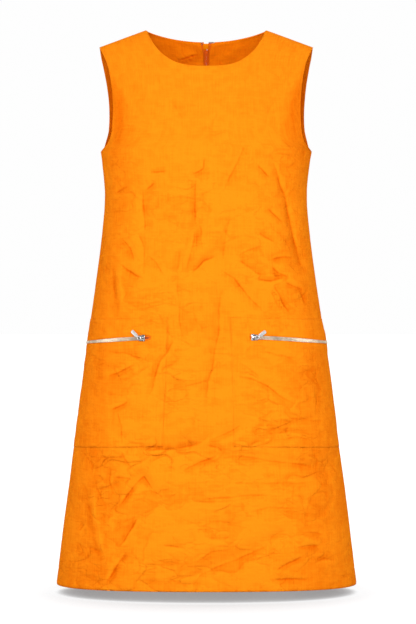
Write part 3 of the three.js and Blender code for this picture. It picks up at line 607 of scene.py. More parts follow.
# ---- Making pieces ----
def weave_layer(bm):
    return bm.loops.layers.uv.get("weave") or bm.loops.layers.uv.new("weave")


def laid_sheet(columns, rows, place, drop_cell=None):
    """A grid whose vertices are moved to where place puts them: it gives points, normals, weave coordinates
    and perhaps crease fields for all columns and rows. drop_cell says which cells are cut away."""
    bm = bmesh.new()
    bmesh.ops.create_grid(bm, x_segments=columns, y_segments=rows, size=1.0)
    flat = np.array([v.co[:2] for v in bm.verts])
    i = np.rint((flat[:, 0] + 1) / 2 * columns).astype(int)
    j = np.rint((flat[:, 1] + 1) / 2 * rows).astype(int)
    points, normals, weave, *creases = place()
    uv = weave_layer(bm)
    pressed = bm.verts.layers.float_vector.new("crease")
    cell_of = {vertex: (a, b) for vertex, a, b in zip(bm.verts, i.tolist(), j.tolist())}
    for vertex, cell in cell_of.items():
        vertex.co = points[cell] * MM
        vertex[pressed] = creases[0][cell] if creases else (CREASE_REACH, 0, 0)
    for face in bm.faces:
        face.smooth = True
        for loop in face.loops:
            loop[uv].uv = weave[cell_of[loop.vert]] * MM
    if drop_cell:
        gone = [f for f in bm.faces if drop_cell(*map(min, zip(*(cell_of[v] for v in f.verts))))]
        bmesh.ops.delete(bm, geom=gone, context="FACES")
    bm.faces.ensure_lookup_table()
    middle = bm.faces[len(bm.faces) // 2]
    middle.normal_update()
    if middle.normal.dot(Vector(normals[cell_of[middle.verts[0]]])) < 0:
        bmesh.ops.reverse_faces(bm, faces=bm.faces)
    return bm


def add_piece(bm, name, body, finish, replaces=(), wall=None):
    """Makes an object of a finished bmesh, walls it if it is a sheet, and fixes it to its body."""
    mesh = bpy.data.meshes.new(name)
    bm.to_mesh(mesh)
    bm.free()
    mesh.materials.append(finish_of(finish))
    piece = bpy.data.objects.new(name, mesh)
    bpy.context.scene.collection.objects.link(piece)
    if wall:
        solidify = piece.modifiers.new("wall", "SOLIDIFY")
        solidify.thickness = wall
        solidify.offset = -1
        solidify.use_rim = True
    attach(piece, body)
    if replaces:
        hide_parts(*replaces)
    return piece


def mark_sharp(bm, angle=0.6):
    for face in bm.faces:
        face.smooth = True
    for edge in bm.edges:
        edge.smooth = not (len(edge.link_faces) == 2 and edge.calc_face_angle(0) > angle)


def soften(bm, width, segments=2, angle=0.5):
    """Rounds the edges of a hard piece."""
    sharp = [e for e in bm.edges if len(e.link_faces) == 2 and e.calc_face_angle(0) > angle]
    bmesh.ops.bevel(
        bm,
        geom=sharp,
        offset=width,
        offset_type="OFFSET",
        affect="EDGES",
        segments=segments,
        profile=0.5,
        material=-1,
        clamp_overlap=True,
    )


def seat_matrix(point, along, normal):
    """A frame on the cloth: x along, z out of it, in metres."""
    z = Vector(normal).normalized()
    x = Vector(along)
    x = (x - z * x.dot(z)).normalized()
    y = z.cross(x)
    matrix = Matrix((x, y, z)).transposed().to_4x4()
    matrix.translation = Vector(point) * MM
    return matrix


# ---- Finishes ----
class Nodes:
    """A node tree, with short ways to add and join nodes."""

    def __init__(self, owner):
        owner.use_nodes = True
        self.tree = owner.node_tree
        self.tree.nodes.clear()

    def fill(self, socket, value):
        """Joins an input to another node's output, or gives it a plain value."""
        if isinstance(value, bpy.types.NodeSocket):
            self.tree.links.new(value, socket)
        else:
            socket.default_value = value

    def node(self, kind, inputs=None, **settings):
        made = self.tree.nodes.new(kind)
        for key, value in settings.items():
            setattr(made, key, value)
        for key, value in (inputs or {}).items():
            self.fill(made.inputs[key], value)
        return made

    def math(self, operation, a, b=0.0, c=0.0):
        return self.node("ShaderNodeMath", {0: a, 1: b, 2: c}, operation=operation).outputs["Value"]

    def total(self, start, *parts):
        """The start and each part, times its weight, added up."""
        for value, weight in parts:
            start = self.math("MULTIPLY_ADD", value, weight, start)
        return start

    def span(self, value, low, high, to_low=0.0, to_high=1.0):
        return self.node(
            "ShaderNodeMapRange",
            {"Value": value, "From Min": low, "From Max": high, "To Min": to_low, "To Max": to_high},
        ).outputs["Result"]

    def blend(self, share, a, b):
        made = self.node("ShaderNodeMix", data_type="RGBA")
        for key, value in (("Factor", share), ("A", a), ("B", b)):
            self.fill(next(s for s in made.inputs if s.name == key and s.enabled), value)
        return next(s for s in made.outputs if s.enabled)


class Finish(Nodes):
    """The node tree of one material of cloth, metal or lacquer."""

    def __init__(self, name):
        self.material = bpy.data.materials.new(name)
        super().__init__(self.material)
        self.shader = self.node("ShaderNodeBsdfPrincipled")
        self.node("ShaderNodeOutputMaterial", {"Surface": self.shader.outputs["BSDF"]})

    def set(self, **values):
        for key, value in values.items():
            self.fill(self.shader.inputs[key.replace("_", " ")], value)

    def weave(self, across, along):
        """The piece's own weave coordinates, scaled to threads or patches per metre."""
        uv = self.node("ShaderNodeUVMap", uv_map="weave")
        return self.node(
            "ShaderNodeMapping", {"Vector": uv.outputs["UV"], "Scale": (across, along, 1.0)}
        ).outputs["Vector"]

    def place(self, scale):
        where = self.node("ShaderNodeTexCoord")
        return self.node(
            "ShaderNodeMapping", {"Vector": where.outputs["Object"], "Scale": (scale, scale, scale)}
        ).outputs["Vector"]

    def noise(self, vector, detail=2.0, roughness=0.5):
        settings = {"Vector": vector, "Scale": 1.0, "Detail": detail, "Roughness": roughness}
        return self.node("ShaderNodeTexNoise", settings).outputs["Fac"]

    def bands(self, vector, direction, scale, distortion):
        made = self.node(
            "ShaderNodeTexWave",
            {"Vector": vector, "Scale": scale, "Distortion": distortion, "Detail": 1.0},
            wave_type="BANDS",
            bands_direction=direction,
        )
        return made.outputs["Fac"]

    def bump(self, height, distance, strength=1.0):
        made = self.node("ShaderNodeBump", {"Height": height, "Distance": distance, "Strength": strength})
        self.set(Normal=made.outputs["Normal"])

    def crease_fields(self):
        """What the cloth stores of its creases: how far the nearest is, its depth, and the painted light and
        shade beside it and towards the side edges.
        """
        stored = self.node("ShaderNodeAttribute", attribute_name="crease", attribute_type="GEOMETRY")
        axes = self.node("ShaderNodeSeparateXYZ", {"Vector": stored.outputs["Vector"]})
        return [axes.outputs[key] for key in ("X", "Y", "Z")]

    def crumpled_net(self, across, along, bend, edge):
        """The creases between the facets of a crumpled sheet, and a value for each facet that sets its
        painted light and shade.
        """
        slow = self.weave(across * 0.4, along * 0.4)
        wander = self.node("ShaderNodeTexNoise", {"Vector": slow, "Detail": 0.0})
        moved = self.node(
            "ShaderNodeVectorMath",
            {0: wander.outputs["Color"], 1: (bend, bend, 0.0), 2: self.weave(across, along)},
            operation="MULTIPLY_ADD",
        ).outputs["Vector"]
        net = self.node("ShaderNodeTexVoronoi", {"Vector": moved, "Scale": 1.0}, feature="DISTANCE_TO_EDGE")
        cell = self.node("ShaderNodeTexVoronoi", {"Vector": moved, "Scale": 1.0}, feature="F1")
        painted_shading = self.node("ShaderNodeSeparateColor", {"Color": cell.outputs["Color"]}).outputs["Red"]
        return self.math("POWER", self.span(net.outputs["Distance"], 0.0, edge, 1.0, 0.0), 2.0), painted_shading

    def bell(self, value, width):
        """One in the middle, and falling to nothing over about twice the width."""
        scaled = self.math("DIVIDE", value, width)
        return self.math("EXPONENT", self.math("MULTIPLY", self.math("MULTIPLY", scaled, scaled), -1.0))


# Painted shade: the facings inside the dress take a darker, redder copy of the linen, as they lie in shade
INSIDE_SHADE = (0.95, 0.8, 0.4)  # how much of each colour the inner side of the cloth keeps


def shade_of(colour, factor):
    return (*(min(1.0, c * factor) for c in colour[:3]), 1.0)


def faced(colour):
    """A colour with painted shade, darker and redder, as the facings inside the dress show it."""
    return (*(c * kept for c, kept in zip(colour, INSIDE_SHADE)), 1.0)


def linen_finish(name, colour, deep):
    """Plain-woven linen: slubs both ways, a fine weave, pressed creases, crumpled facets and uneven dye, with
    painted shade in the creases and painted light and shade beside them and on the facets.
    """
    made = Finish(name)
    warp = made.noise(made.weave(430, 26), detail=3.0, roughness=0.6)
    weft = made.noise(made.weave(26, 400), detail=3.0, roughness=0.6)
    cloud = made.noise(made.weave(13, 13), detail=3.0)
    slubs = made.math("ADD", made.span(warp, 0.36, 0.7), made.span(weft, 0.42, 0.76, 0.0, 0.7))
    # In metres along the cloth from its middle and down from the neck: chest and side seams are calmer
    uv = made.node("ShaderNodeUVMap", uv_map="weave").outputs["UV"]
    spot = made.node("ShaderNodeSeparateXYZ", {"Vector": uv})
    beside_seam = made.span(made.math("ABSOLUTE", spot.outputs["X"]), 0.15, 0.22, 1.0, 0.4)
    chest = made.span(spot.outputs["Y"], -0.27, -0.13)
    calm = made.math("MULTIPLY", made.math("MULTIPLY_ADD", chest, -0.65, 1.0), beside_seam)
    calm = made.math("MULTIPLY", calm, made.span(spot.outputs["Y"], -0.47, -0.68, 1.0, 1.5))

    # Pressed creases: how far this spot is from one, how deep it is, and the painted light and shade beside
    # it; line is painted shade down a crease
    away, depth, painted_shading = made.crease_fields()
    pressed = made.math("MULTIPLY", depth, made.bell(away, 1.7))
    line = made.math("MULTIPLY", made.math("MAXIMUM", depth, 0.0), made.bell(away, 1.5))

    # Crumples: the facets of two nets, whose edges are creases that come and go, with painted shade along the
    # creases and painted light and shade that differs from facet to facet
    coarse, coarse_facet = made.crumpled_net(17, 24, 1.1, 0.16)
    fine, fine_facet = made.crumpled_net(38, 64, 1.0, 0.26)
    coarse = made.math("MULTIPLY", coarse, made.span(made.noise(made.weave(9, 12), detail=1.0), 0.4, 0.62))
    fine = made.math("MULTIPLY", fine, made.span(made.noise(made.weave(15, 19), detail=1.0), 0.4, 0.66))
    coarse, fine = made.math("MULTIPLY", coarse, calm), made.math("MULTIPLY", fine, calm)
    facets = made.math("MULTIPLY_ADD", fine_facet, 0.45, made.math("MULTIPLY_ADD", coarse_facet, 0.55, -0.5))
    crush = made.noise(made.weave(60, 85), detail=4.0, roughness=0.55)

    # How far the colour goes to the deep one: painted shade down the creases and the crumples' nets, painted
    # light and shade beside the creases, on the facets and at the side edges, painted shade in the crush's
    # hollows and a little over the chest, and painted light on the crush's rises; the slubs and the cloud are
    # the dye's own unevenness
    dark = made.total(
        0.18,
        (line, 0.3),
        (painted_shading, 0.2),
        (coarse, 0.17),
        (fine, 0.14),
        (made.math("MULTIPLY", facets, calm), 0.25),
        (chest, 0.07),
        (slubs, -0.25),
        (made.span(cloud, 0.3, 0.7), -0.08),
        (made.span(crush, 0.35, 0.65, 0.15, -0.05), 1.0),
    )
    made.set(Base_Color=made.blend(made.span(dark, 0.0, 1.0), colour, deep))
    weave = made.math(
        "MULTIPLY",
        made.bands(made.weave(1, 1), "X", 330, 1.2),
        made.bands(made.weave(1, 1), "Y", 330, 1.2),
    )
    threads = made.total(0.0, (slubs, 0.2), (weave, 0.1))
    height = made.total(threads, (crush, 1.6), (coarse, -1.1), (fine, -0.6), (pressed, -0.4))
    made.bump(height, MM)
    made.set(
        Roughness=made.span(warp, 0.3, 0.7, 0.95, 0.85),
        Sheen_Weight=0.008,
        Sheen_Roughness=0.5,
        Sheen_Tint=(1.0, 0.3, 0.01, 1.0),
        Specular_IOR_Level=0.003,
    )
    return made.material


def tape_finish(name, colour):
    """Herringbone zip tape."""
    made = Finish(name)
    twill = made.bands(made.weave(1, 1), "DIAGONAL", 300, 0.6)
    fuzz = made.noise(made.place(900), detail=2.0)
    mixed = made.math("MULTIPLY_ADD", fuzz, 0.5, made.math("MULTIPLY", twill, 0.5))
    made.set(
        Base_Color=made.blend(mixed, shade_of(colour, 0.72), shade_of(colour, 1.1)),
        Roughness=made.span(fuzz, 0.3, 0.7, 0.7, 0.85),
        Sheen_Weight=0.04,
        Sheen_Roughness=0.5,
        Sheen_Tint=(1.0, 0.5, 0.1, 1.0),
        Specular_IOR_Level=0.08,
    )
    made.bump(mixed, 0.00015, 0.7)
    return made.material


def metal_finish(name, colour, roughness, mottle=0.82, spots=700):
    """Plated metal with handling marks and a mottled colour, partly dull wear and partly painted reflection:
    mottle is how dark its spots are, and spots how many a metre.
    """
    made = Finish(name)
    cloud = made.noise(made.place(spots), detail=3.0, roughness=0.6)
    marks = made.noise(made.place(2600), detail=2.0)
    made.set(
        Metallic=1.0,
        Base_Color=made.blend(made.span(cloud, 0.42, 0.6), shade_of(colour, mottle), colour),
        Roughness=made.span(cloud, 0.3, 0.7, roughness, roughness + 0.14),
    )
    made.bump(marks, 0.00004, 0.5)
    return made.material


def enamel_finish(name, colour):
    """Dyed lacquer over metal or moulded nylon."""
    made = Finish(name)
    cloud = made.noise(made.place(420), detail=2.0)
    made.set(
        Base_Color=made.blend(cloud, shade_of(colour, 0.9), colour),
        Roughness=made.span(cloud, 0.3, 0.7, 0.4, 0.55),
        Coat_Weight=0.02,
        Coat_Roughness=0.3,
        Specular_IOR_Level=0.08,
    )
    made.bump(cloud, 0.00006, 0.4)
    return made.material


def finish_of(kind):
    """Each finish is made once and shared."""
    ready = bpy.data.materials.get(kind)
    if ready:
        return ready
    colours = bpy.context.scene.dress_colours
    if kind == "linen_cloth":
        return linen_finish(kind, (*colours.linen, 1.0), (*colours.linen_shade_and_dye, 1.0))
    if kind == "linen_facing":
        return linen_finish(kind, faced(colours.linen), faced(colours.linen_shade_and_dye))
    make, key, *settings = {
        "pocket_shadow": (tape_finish, "pocket_shadow"),
        "zip_tape_cloth": (tape_finish, "zip_tape"),
        "sewing_thread": (tape_finish, "thread"),
        "nickel_plate": (metal_finish, "nickel", 0.3),
        # Painted reflections: the pocket sliders are mottled nearly black and bright, and the teeth lighter
        # and darker along their length, for the studio mirrored in the metal
        "worn_nickel": (metal_finish, "nickel", 0.22, 0.12, 460),
        "tooth_metal": (metal_finish, "teeth", 0.42, 0.78, 75),
        "zip_enamel": (enamel_finish, "enamel"),
        "coil_nylon": (enamel_finish, "coil"),
    }[kind]
    return make(kind, (*getattr(colours, key), 1.0), *settings)


# ---- Sizes and colours a user would change ----
def length_setting(name, description, default, low, high):
    return bpy.props.FloatProperty(
        name=name,
        description=description,
        default=default,
        min=low,
        max=high,
        unit="LENGTH",
        subtype="DISTANCE",
        precision=5,
    )


def depth_setting(name, description, high):
    """A share of a drawn depth, where 1 is as drawn."""
    return bpy.props.FloatProperty(
        name=name, description=description, default=1.0, min=0.0, max=high, subtype="FACTOR"
    )


def colour_setting(name, description, default):
    return bpy.props.FloatVectorProperty(
        name=name, description=description, default=default, min=0, max=1, size=3, subtype="COLOR"
    )


class DressSizes(bpy.types.PropertyGroup):
    cloth_wall: length_setting(
        "Cloth thickness", "Wall of the front and back panels", 0.0011, 0.0004, 0.002
    )
    patch_wall: length_setting("Patch thickness", "Wall of a pocket patch", 0.00045, 0.0004, 0.0012)
    lining_wall: length_setting(
        "Facing thickness", "Wall of the facings, hem turnings and seam allowances", 0.0005, 0.0003, 0.001
    )
    seam_gap: length_setting(
        "Seam gap", "Left between two panels where they are sewn together", 0.0001, 0.0, 0.0006
    )
    hem_allowance: length_setting("Hem allowance", "Height of the turned-up hem", 0.025, 0.01, 0.05)
    fold_depth: depth_setting(
        "Fold depth", "How deep the sharp creases are pressed, as a share of their drawn depth", 1.6
    )
    crumple_depth: depth_setting(
        "Crumple depth", "How strong the small crumples between the creases are", 2.0
    )
    tooth_pitch: length_setting(
        "Tooth pitch", "Distance from one zip tooth to the next on the other side", 0.00125, 0.0008, 0.003
    )
    floor_drop: length_setting(
        "Floor below hem", "How far the floor lies below the lowest point of the dress", 0.014, 0.0, 0.2
    )


class DressColours(bpy.types.PropertyGroup):
    linen: colour_setting(
        "Linen", "Dyed linen on the open faces of the cloth", (0.94, 0.256, 0.0062)
    )
    # The deep colour is partly painted shade: the linen blends towards it in and beside the creases, on
    # shaded facets and towards the side edges, and also between the thick threads, where the dye is deeper
    linen_shade_and_dye: colour_setting(
        "Linen, deep", "Dyed linen down in the creases and between the thick threads", (0.72, 0.108, 0.0003)
    )
    zip_tape: colour_setting("Zip tape", "Woven tape of the zips", (0.9, 0.17, 0.006))
    coil: colour_setting("Back zip coil", "Nylon coil of the back zip", (0.78, 0.12, 0.006))
    enamel: colour_setting(
        "Back zip slider", "Lacquer of the back slider and its tab", (1.0, 0.27, 0.0)
    )
    nickel: colour_setting(
        "Nickel", "Plating of the pocket sliders and pulls, the hook and the eye", (0.84, 0.83, 0.82)
    )
    # The teeth's warm tan is a painted reflection of the orange cloth in the metal
    teeth: colour_setting("Teeth", "Brushed metal of the pocket zips' teeth", (0.83, 0.68, 0.51))
    thread: colour_setting("Sewing thread", "Thread of the topstitching", (0.88, 0.2, 0.006))
    # A painted shadow: the dark sheet in the open end of a pocket zip
    pocket_shadow: colour_setting(
        "Inside of a pocket", "Cloth that shows in the open end of a pocket zip", (0.4, 0.07, 0.02)
    )


def sizes_of(context):
    return context.scene.dress_sizes


# ---- Stage ----
# Each soft light: where it hangs in metres, the side of its square, and its watts
SOFTBOXES = {
    "key": ((-0.1, -3.0, 0.2), 1.3, 66),
    "left": ((-3.2, -0.5, -0.3), 1.8, 18),
    "right": ((3.2, -0.5, -0.3), 1.8, 20),
    "behind": ((0.4, 3.4, 1.8), 2.4, 60),
}
CAMERA_SIDESTEP = 0.0036  # how far right of the middle the camera stands


class DRESS_OT_stage(bpy.types.Operator):
    """Make the pale floor, the soft studio light and the camera"""

    bl_idname = "dress.stage"
    bl_label = "Stage"

    camera_distance: bpy.props.FloatProperty(
        name="Camera distance", description="From the dress to the camera", default=3.6, unit="LENGTH"
    )
    view_height: bpy.props.FloatProperty(
        name="View height", description="Height of what the camera takes in", default=1.0234, unit="LENGTH"
    )
    eye_height: bpy.props.FloatProperty(
        name="Camera height", description="Height that the camera stands at", default=-0.4625, unit="LENGTH"
    )

    def execute(self, context):
        scene = context.scene
        low, high = CAD_BOX
        scene.view_settings.view_transform = "Standard"
        lens = bpy.data.cameras.new("camera")
        lens.sensor_width = 36
        lens.lens = lens.sensor_width * self.camera_distance / self.view_height
        lens.clip_start, lens.clip_end = 0.05, 200
        camera = bpy.data.objects.new("camera", lens)
        camera.location = (CAMERA_SIDESTEP, -self.camera_distance, self.eye_height)
        camera.rotation_euler = (math.radians(90), 0, 0)
        scene.collection.objects.link(camera)
        scene.camera = camera

        bm = bmesh.new()
        bmesh.ops.create_grid(bm, x_segments=2, y_segments=2, size=40.0)
        bmesh.ops.translate(bm, verts=bm.verts, vec=(0, 0, low.z - sizes_of(context).floor_drop))
        mesh = bpy.data.meshes.new("floor")
        bm.to_mesh(mesh)
        bm.free()
        floor = bpy.data.objects.new("floor", mesh)
        mesh.materials.append(self.paper())
        scene.collection.objects.link(floor)

        self.world(scene)
        middle = Vector((0, 0, (low.z + high.z) / 2))
        for name, (place, size, power) in SOFTBOXES.items():
            self.softbox(scene, name, place, middle, size, power)
        return {"FINISHED"}

    def paper(self):
        """White paper that glows like an overlit sweep, with a painted shadow: its glow dims where the dress
        closes it in.
        """
        made = Finish("floor_paper")
        grain = made.noise(made.place(60), detail=2.0)
        painted_shadow_occlusion = made.node("ShaderNodeAmbientOcclusion", {"Distance": 0.34}, samples=12)
        seen = made.node("ShaderNodeLightPath").outputs["Is Camera Ray"]
        glow = made.math("MULTIPLY_ADD", painted_shadow_occlusion.outputs["AO"], 1.02, 0.075)
        made.set(
            Base_Color=made.blend(grain, (0.11, 0.115, 0.12, 1), (0.12, 0.125, 0.13, 1)),
            Emission_Color=(1.0, 1.0, 1.0, 1.0),
            Emission_Strength=made.math("MULTIPLY", glow, made.span(seen, 0, 1, 0.45, 1.0)),
            Roughness=made.span(grain, 0, 1, 0.9, 1.0),
            Specular_IOR_Level=0.05,
        )
        return made.material

    def world(self, scene):
        """White to the camera, and a soft dome that is brighter overhead to everything else."""
        world = bpy.data.worlds.new("studio")
        made = Nodes(world)
        where = made.node("ShaderNodeTexCoord").outputs["Generated"]
        up = made.node("ShaderNodeSeparateXYZ", {0: where}).outputs["Z"]
        dome = made.node("ShaderNodeBackground", {"Strength": made.span(up, -0.5, 0.9, 0.45, 0.88)})
        white = made.node("ShaderNodeBackground", {"Strength": 1.0, "Color": (0.99, 0.99, 0.99, 1)})
        seen = made.node("ShaderNodeLightPath").outputs["Is Camera Ray"]
        shown = made.node("ShaderNodeMixShader", {0: seen, 1: dome.outputs[0], 2: white.outputs[0]})
        made.node("ShaderNodeOutputWorld", {"Surface": shown.outputs[0]})
        scene.world = world

    def softbox(self, scene, name, place, aim, size, power):
        light = bpy.data.lights.new(name, "AREA")
        light.shape, light.size, light.energy = "SQUARE", size, power
        lamp = bpy.data.objects.new(name, light)
        lamp.location = place
        lamp.rotation_euler = (aim - Vector(place)).to_track_quat("-Z", "Y").to_euler()
        scene.collection.objects.link(lamp)


# ---- Cloth ----
def cloth_grid(face, side, shares, rows, out, sizes, bend=None):
    share = np.array(shares, float)[:, None] + np.zeros((1, len(rows)))
    row = np.zeros((len(shares), 1, 1)) + np.array(rows, float)[None, :, :]
    if bend:
        row[..., 0] = bend(share, row[..., 0])
    offset = out(share, row) if callable(out) else np.full(share.shape, float(out))
    return cloth_spots(face, side, share, row, offset, sizes)


def cloth_sheet(face, side, shares, rows, out, sizes, drop_cell=None, bend=None):
    return laid_sheet(
        len(shares) - 1,
        len(rows) - 1,
        lambda: cloth_grid(face, side, shares, rows, out, sizes, bend),
        drop_cell,
    )


class DRESS_OT_front(bpy.types.Operator):
    """Cut and crumple the front"""

    bl_idname = "dress.front"
    bl_label = "Front"

    def execute(self, context):
        sizes = sizes_of(context)
        shares = even_shares((-1, 1), (172,))
        rows = lower_rows((HEM, POCKET_BOTTOM, WAIST, (ARMPIT_Z, 0)), (70, 85, 63)) + yoke_rows(62)
        bm = cloth_sheet("front", 0, shares, rows, 0.0, sizes)
        piece = add_piece(
            bm, "front_cloth", "dress", "linen_cloth", ["front_panel"], sizes.cloth_wall
        )
        return {"FINISHED"}


class DRESS_OT_backs(bpy.types.Operator):
    """Cut and crumple the two backs"""

    bl_idname = "dress.backs"
    bl_label = "Backs"

    def execute(self, context):
        sizes = sizes_of(context)
        shares = even_shares((0, 1), (88,))
        rows = lower_rows((BACK_HEM, (BACK_ZIP_END_Z, 0), (ARMPIT_Z, 0)), (112, 94)) + yoke_rows(58)
        for name, side in SIDES.items():
            bm = cloth_sheet("back", side, shares, rows, 0.0, sizes)
            cloth, node = f"back_{name}_cloth", f"back_{name}_panel"
            piece = add_piece(bm, cloth, "dress", "linen_cloth", [node], sizes.cloth_wall)
        return {"FINISHED"}


def slot_narrowing(share):
    """The slot over a zip closes up a little towards the side seam."""
    return 1 - 0.3 * smooth((np.abs(share) - 0.78) / 0.2)


def zip_row_out(z):
    """How far a patch stands off the front: flat at its sewn edges, and risen over the tape of its zip."""
    away = np.abs(z - ZIP_Z) - TAPE_HALF_HEIGHT
    return SEWN_RISE + (PATCH_RISE - SEWN_RISE) * (1 - smooth(away / 14))


class DRESS_OT_pockets(bpy.types.Operator):
    """Make the two patch pockets, each cut through for its zip"""

    bl_idname = "dress.pockets"
    bl_label = "Patch pockets"

    def execute(self, context):
        sizes = sizes_of(context)
        for name, pocket in POCKETS.items():
            self.patch(name, pocket, sizes)
        return {"FINISHED"}

    def patch(self, name, pocket, sizes):
        side = pocket["side"]
        slot_columns, end_columns = 40, 12
        keys = (side, pocket["slot_end"], pocket["inner"])
        shares = even_shares(keys, (slot_columns, end_columns))
        levels = (
            POCKET_BOTTOM,
            (ZIP_Z - TAPE_HALF_HEIGHT, ZIP_DROOP),
            (ZIP_Z - SLOT_HALF_HEIGHT, ZIP_DROOP),
            (ZIP_Z + SLOT_HALF_HEIGHT, ZIP_DROOP),
            (ZIP_Z + TAPE_HALF_HEIGHT, ZIP_DROOP),
            POCKET_TOP,
        )
        counts = (54, 3, 2, 3, 9)
        rows = lower_rows(levels, counts)
        slot_low = counts[0] + counts[1]
        heights = np.array([r[0] for r in rows])
        inner_angle = float(column_angle(pocket["inner"]))

        def out(share, row):
            z = row[..., 0]
            girth = quarter_girth("front", z)
            from_inner = np.abs(column_angle(share) - inner_angle) * girth
            from_edge = np.minimum(np.minimum(z - heights[0], heights[-1] - z), from_inner)
            lift = zip_row_out(z) + sizes.patch_wall / MM + 0.05
            # Its sewn edge is drawn down, and below the zip it fills out unevenly
            lift = lift - 0.12 * bell(from_edge, 1.3)
            lift = lift + 0.3 * smooth(from_edge / 9)
            puff = smooth(from_edge / 40) * smooth((ZIP_Z - TAPE_HALF_HEIGHT - z) / 30)
            lift = lift + 0.8 * puff * (0.6 + noise_field(share * 190, z, 46, 3.9))
            beside_slot = np.abs(np.abs(z - ZIP_Z) - ZIP_SLOT * slot_narrowing(share))
            in_slot = smooth((np.abs(share) - abs(pocket["slot_end"])) / 0.02)
            return lift - 0.3 * bell(beside_slot, 1.2) * in_slot

        def in_slot(i, j):
            return i < slot_columns and slot_low <= j < slot_low + counts[2]

        def bend(share, z):
            """Draws the slot's lips in over the tape, but leaves room round the slider."""
            from_slider = (share - pocket["slider"]) * read_table(SECTIONS, "half", np.array(float(ZIP_Z)))
            half = ZIP_SLOT * slot_narrowing(share)
            half = half + (SLOT_HALF_HEIGHT - half) * np.exp(-((from_slider / 8.5) ** 4))
            up = z - ZIP_Z
            drawn = np.interp(np.abs(up), (0, SLOT_HALF_HEIGHT), (0, 1)) * half
            outside = np.clip((np.abs(up) - SLOT_HALF_HEIGHT) / (TAPE_HALF_HEIGHT - SLOT_HALF_HEIGHT), 0, 1)
            drawn = drawn + outside * (TAPE_HALF_HEIGHT - half)
            return np.where(np.abs(up) < TAPE_HALF_HEIGHT, ZIP_Z + np.sign(up) * drawn, z)

        bm = cloth_sheet("front", 0, shares, rows, out, sizes, in_slot, bend)
        node = f"pocket_{name}"
        piece = add_piece(bm, f"patch_{name}", "dress", "linen_cloth", [node], sizes.patch_wall)
        width = cloth_width(pocket["side"], pocket["inner"], PATCH_GIRTH)


def lining_out(sizes):
    """Where the inner turnings and facings lie: under the cloth, and a little clear of it."""
    return -(sizes.cloth_wall / MM + INNER_CLEARANCE)


class DRESS_OT_facings(bpy.types.Operator):
    """Face the neck and armholes inside, down to just below the armpits"""

    bl_idname = "dress.facings"
    bl_label = "Facings"

    def execute(self, context):
        sizes = sizes_of(context)
        inside = lining_out(sizes)
        rows = lower_rows(((FACING_FOOT_Z, 0), (ARMPIT_Z, 0)), (8,)) + yoke_rows(34)
        bm = cloth_sheet("front", 0, even_shares((-1, 1), (84,)), rows, inside, sizes)
        front = add_piece(bm, "front_facing", "dress", "linen_facing", (), sizes.lining_wall)

        def back_out(share, row):
            x = share * SHOULDER_HALF_WIDTH
            z = place_of("back", share, row[..., 0], row[..., 1], row[..., 2])[1]
            # It rolls away below the neckline, lies deeper behind the zip's tape, and turns in at its edge
            rolled = 2.6 * smooth((top_edge("back", x) - z) / 12) * (1 + 1.2 * noise_field(x, z, 20, 5.1))
            return inside - rolled - 1.15 * smooth((17 - x) / 5) - 0.25 * bell(x - 5.4, 0.9)

        start = BACK_FACING_EDGE / SHOULDER_HALF_WIDTH
        for name, side in SIDES.items():
            shares = even_shares((start, 0.09, 1), (8, 42))
            bm = cloth_sheet("back", side, shares, rows, back_out, sizes)
            facing = add_piece(
                bm, f"back_{name}_facing", "dress", "linen_facing", (), sizes.lining_wall
            )
        return {"FINISHED"}


class DRESS_OT_turnings(bpy.types.Operator):
    """Turn up the hem and press the side seam allowances open inside"""

    bl_idname = "dress.turnings"
    bl_label = "Hem and seam turnings"

    def execute(self, context):
        sizes = sizes_of(context)
        inside = lining_out(sizes)
        up = sizes.hem_allowance / MM
        panels = (
            ("front", "front", 0, (-1, 1), 120, HEM, "front_cloth", 0.6),
            ("back_left", "back", -1, (0, 1), 60, BACK_HEM, "back_left_cloth", 0.3),
            ("back_right", "back", 1, (0, 1), 60, BACK_HEM, "back_right_cloth", 0.3),
        )
        for name, face, side, ends, columns, hem, cloth, width in panels:
            rows = lower_rows(((hem[0] + 0.8, hem[1]), (hem[0] + up, hem[1])), (8,))
            bm = cloth_sheet(face, side, even_shares(ends, (columns,)), rows, inside, sizes)
            band = add_piece(bm, f"{name}_hem", "dress", "linen_cloth", (), sizes.lining_wall)
        for name, side in SIDES.items():
            self.seam(name, side, sizes)
        return {"FINISHED"}

    def seam(self, name, side, sizes):
        """Both allowances of one side seam as one strip, a little in from the cloth."""
        across = 8
        heights = np.linspace(HEM_SIDE_Z + 2, ARMPIT_Z - 3, 90)
        out = -(sizes.cloth_wall / MM + 0.9)

        def place():
            spots = {}
            for face in ("front", "back"):
                t = np.abs(np.linspace(-SEAM_ALLOWANCE, SEAM_ALLOWANCE, across + 1))[:, None]
                t = t + heights[None, :] * 0
                z = heights[None, :] + t * 0
                share = share_at(1 - t / quarter_girth(face, z))
                panel, signed = (0, share * side) if face == "front" else (side, share)
                offset = np.full(z.shape, out)
                spots[face] = cloth_spots(face, panel, signed, rows_at(z, 0), offset, sizes)
            front_half = (np.linspace(-1, 1, across + 1) < 0)[:, None, None]
            return tuple(np.where(front_half, spots["front"][k], spots["back"][k]) for k in range(4))

        bm = laid_sheet(across, len(heights) - 1, place)
        strip = add_piece(bm, f"side_seam_{name}", "dress", "linen_cloth", (), sizes.lining_wall)


# ---- Pocket zips ----
def zip_spots(share, sizes):
    """Points and normals on the front along the middle line of the pocket zips."""
    rows = rows_at(np.full(share.shape, float(ZIP_Z)), ZIP_DROOP)
    return cloth_spots("front", 0, share, rows, np.zeros(share.shape), sizes)[:2]


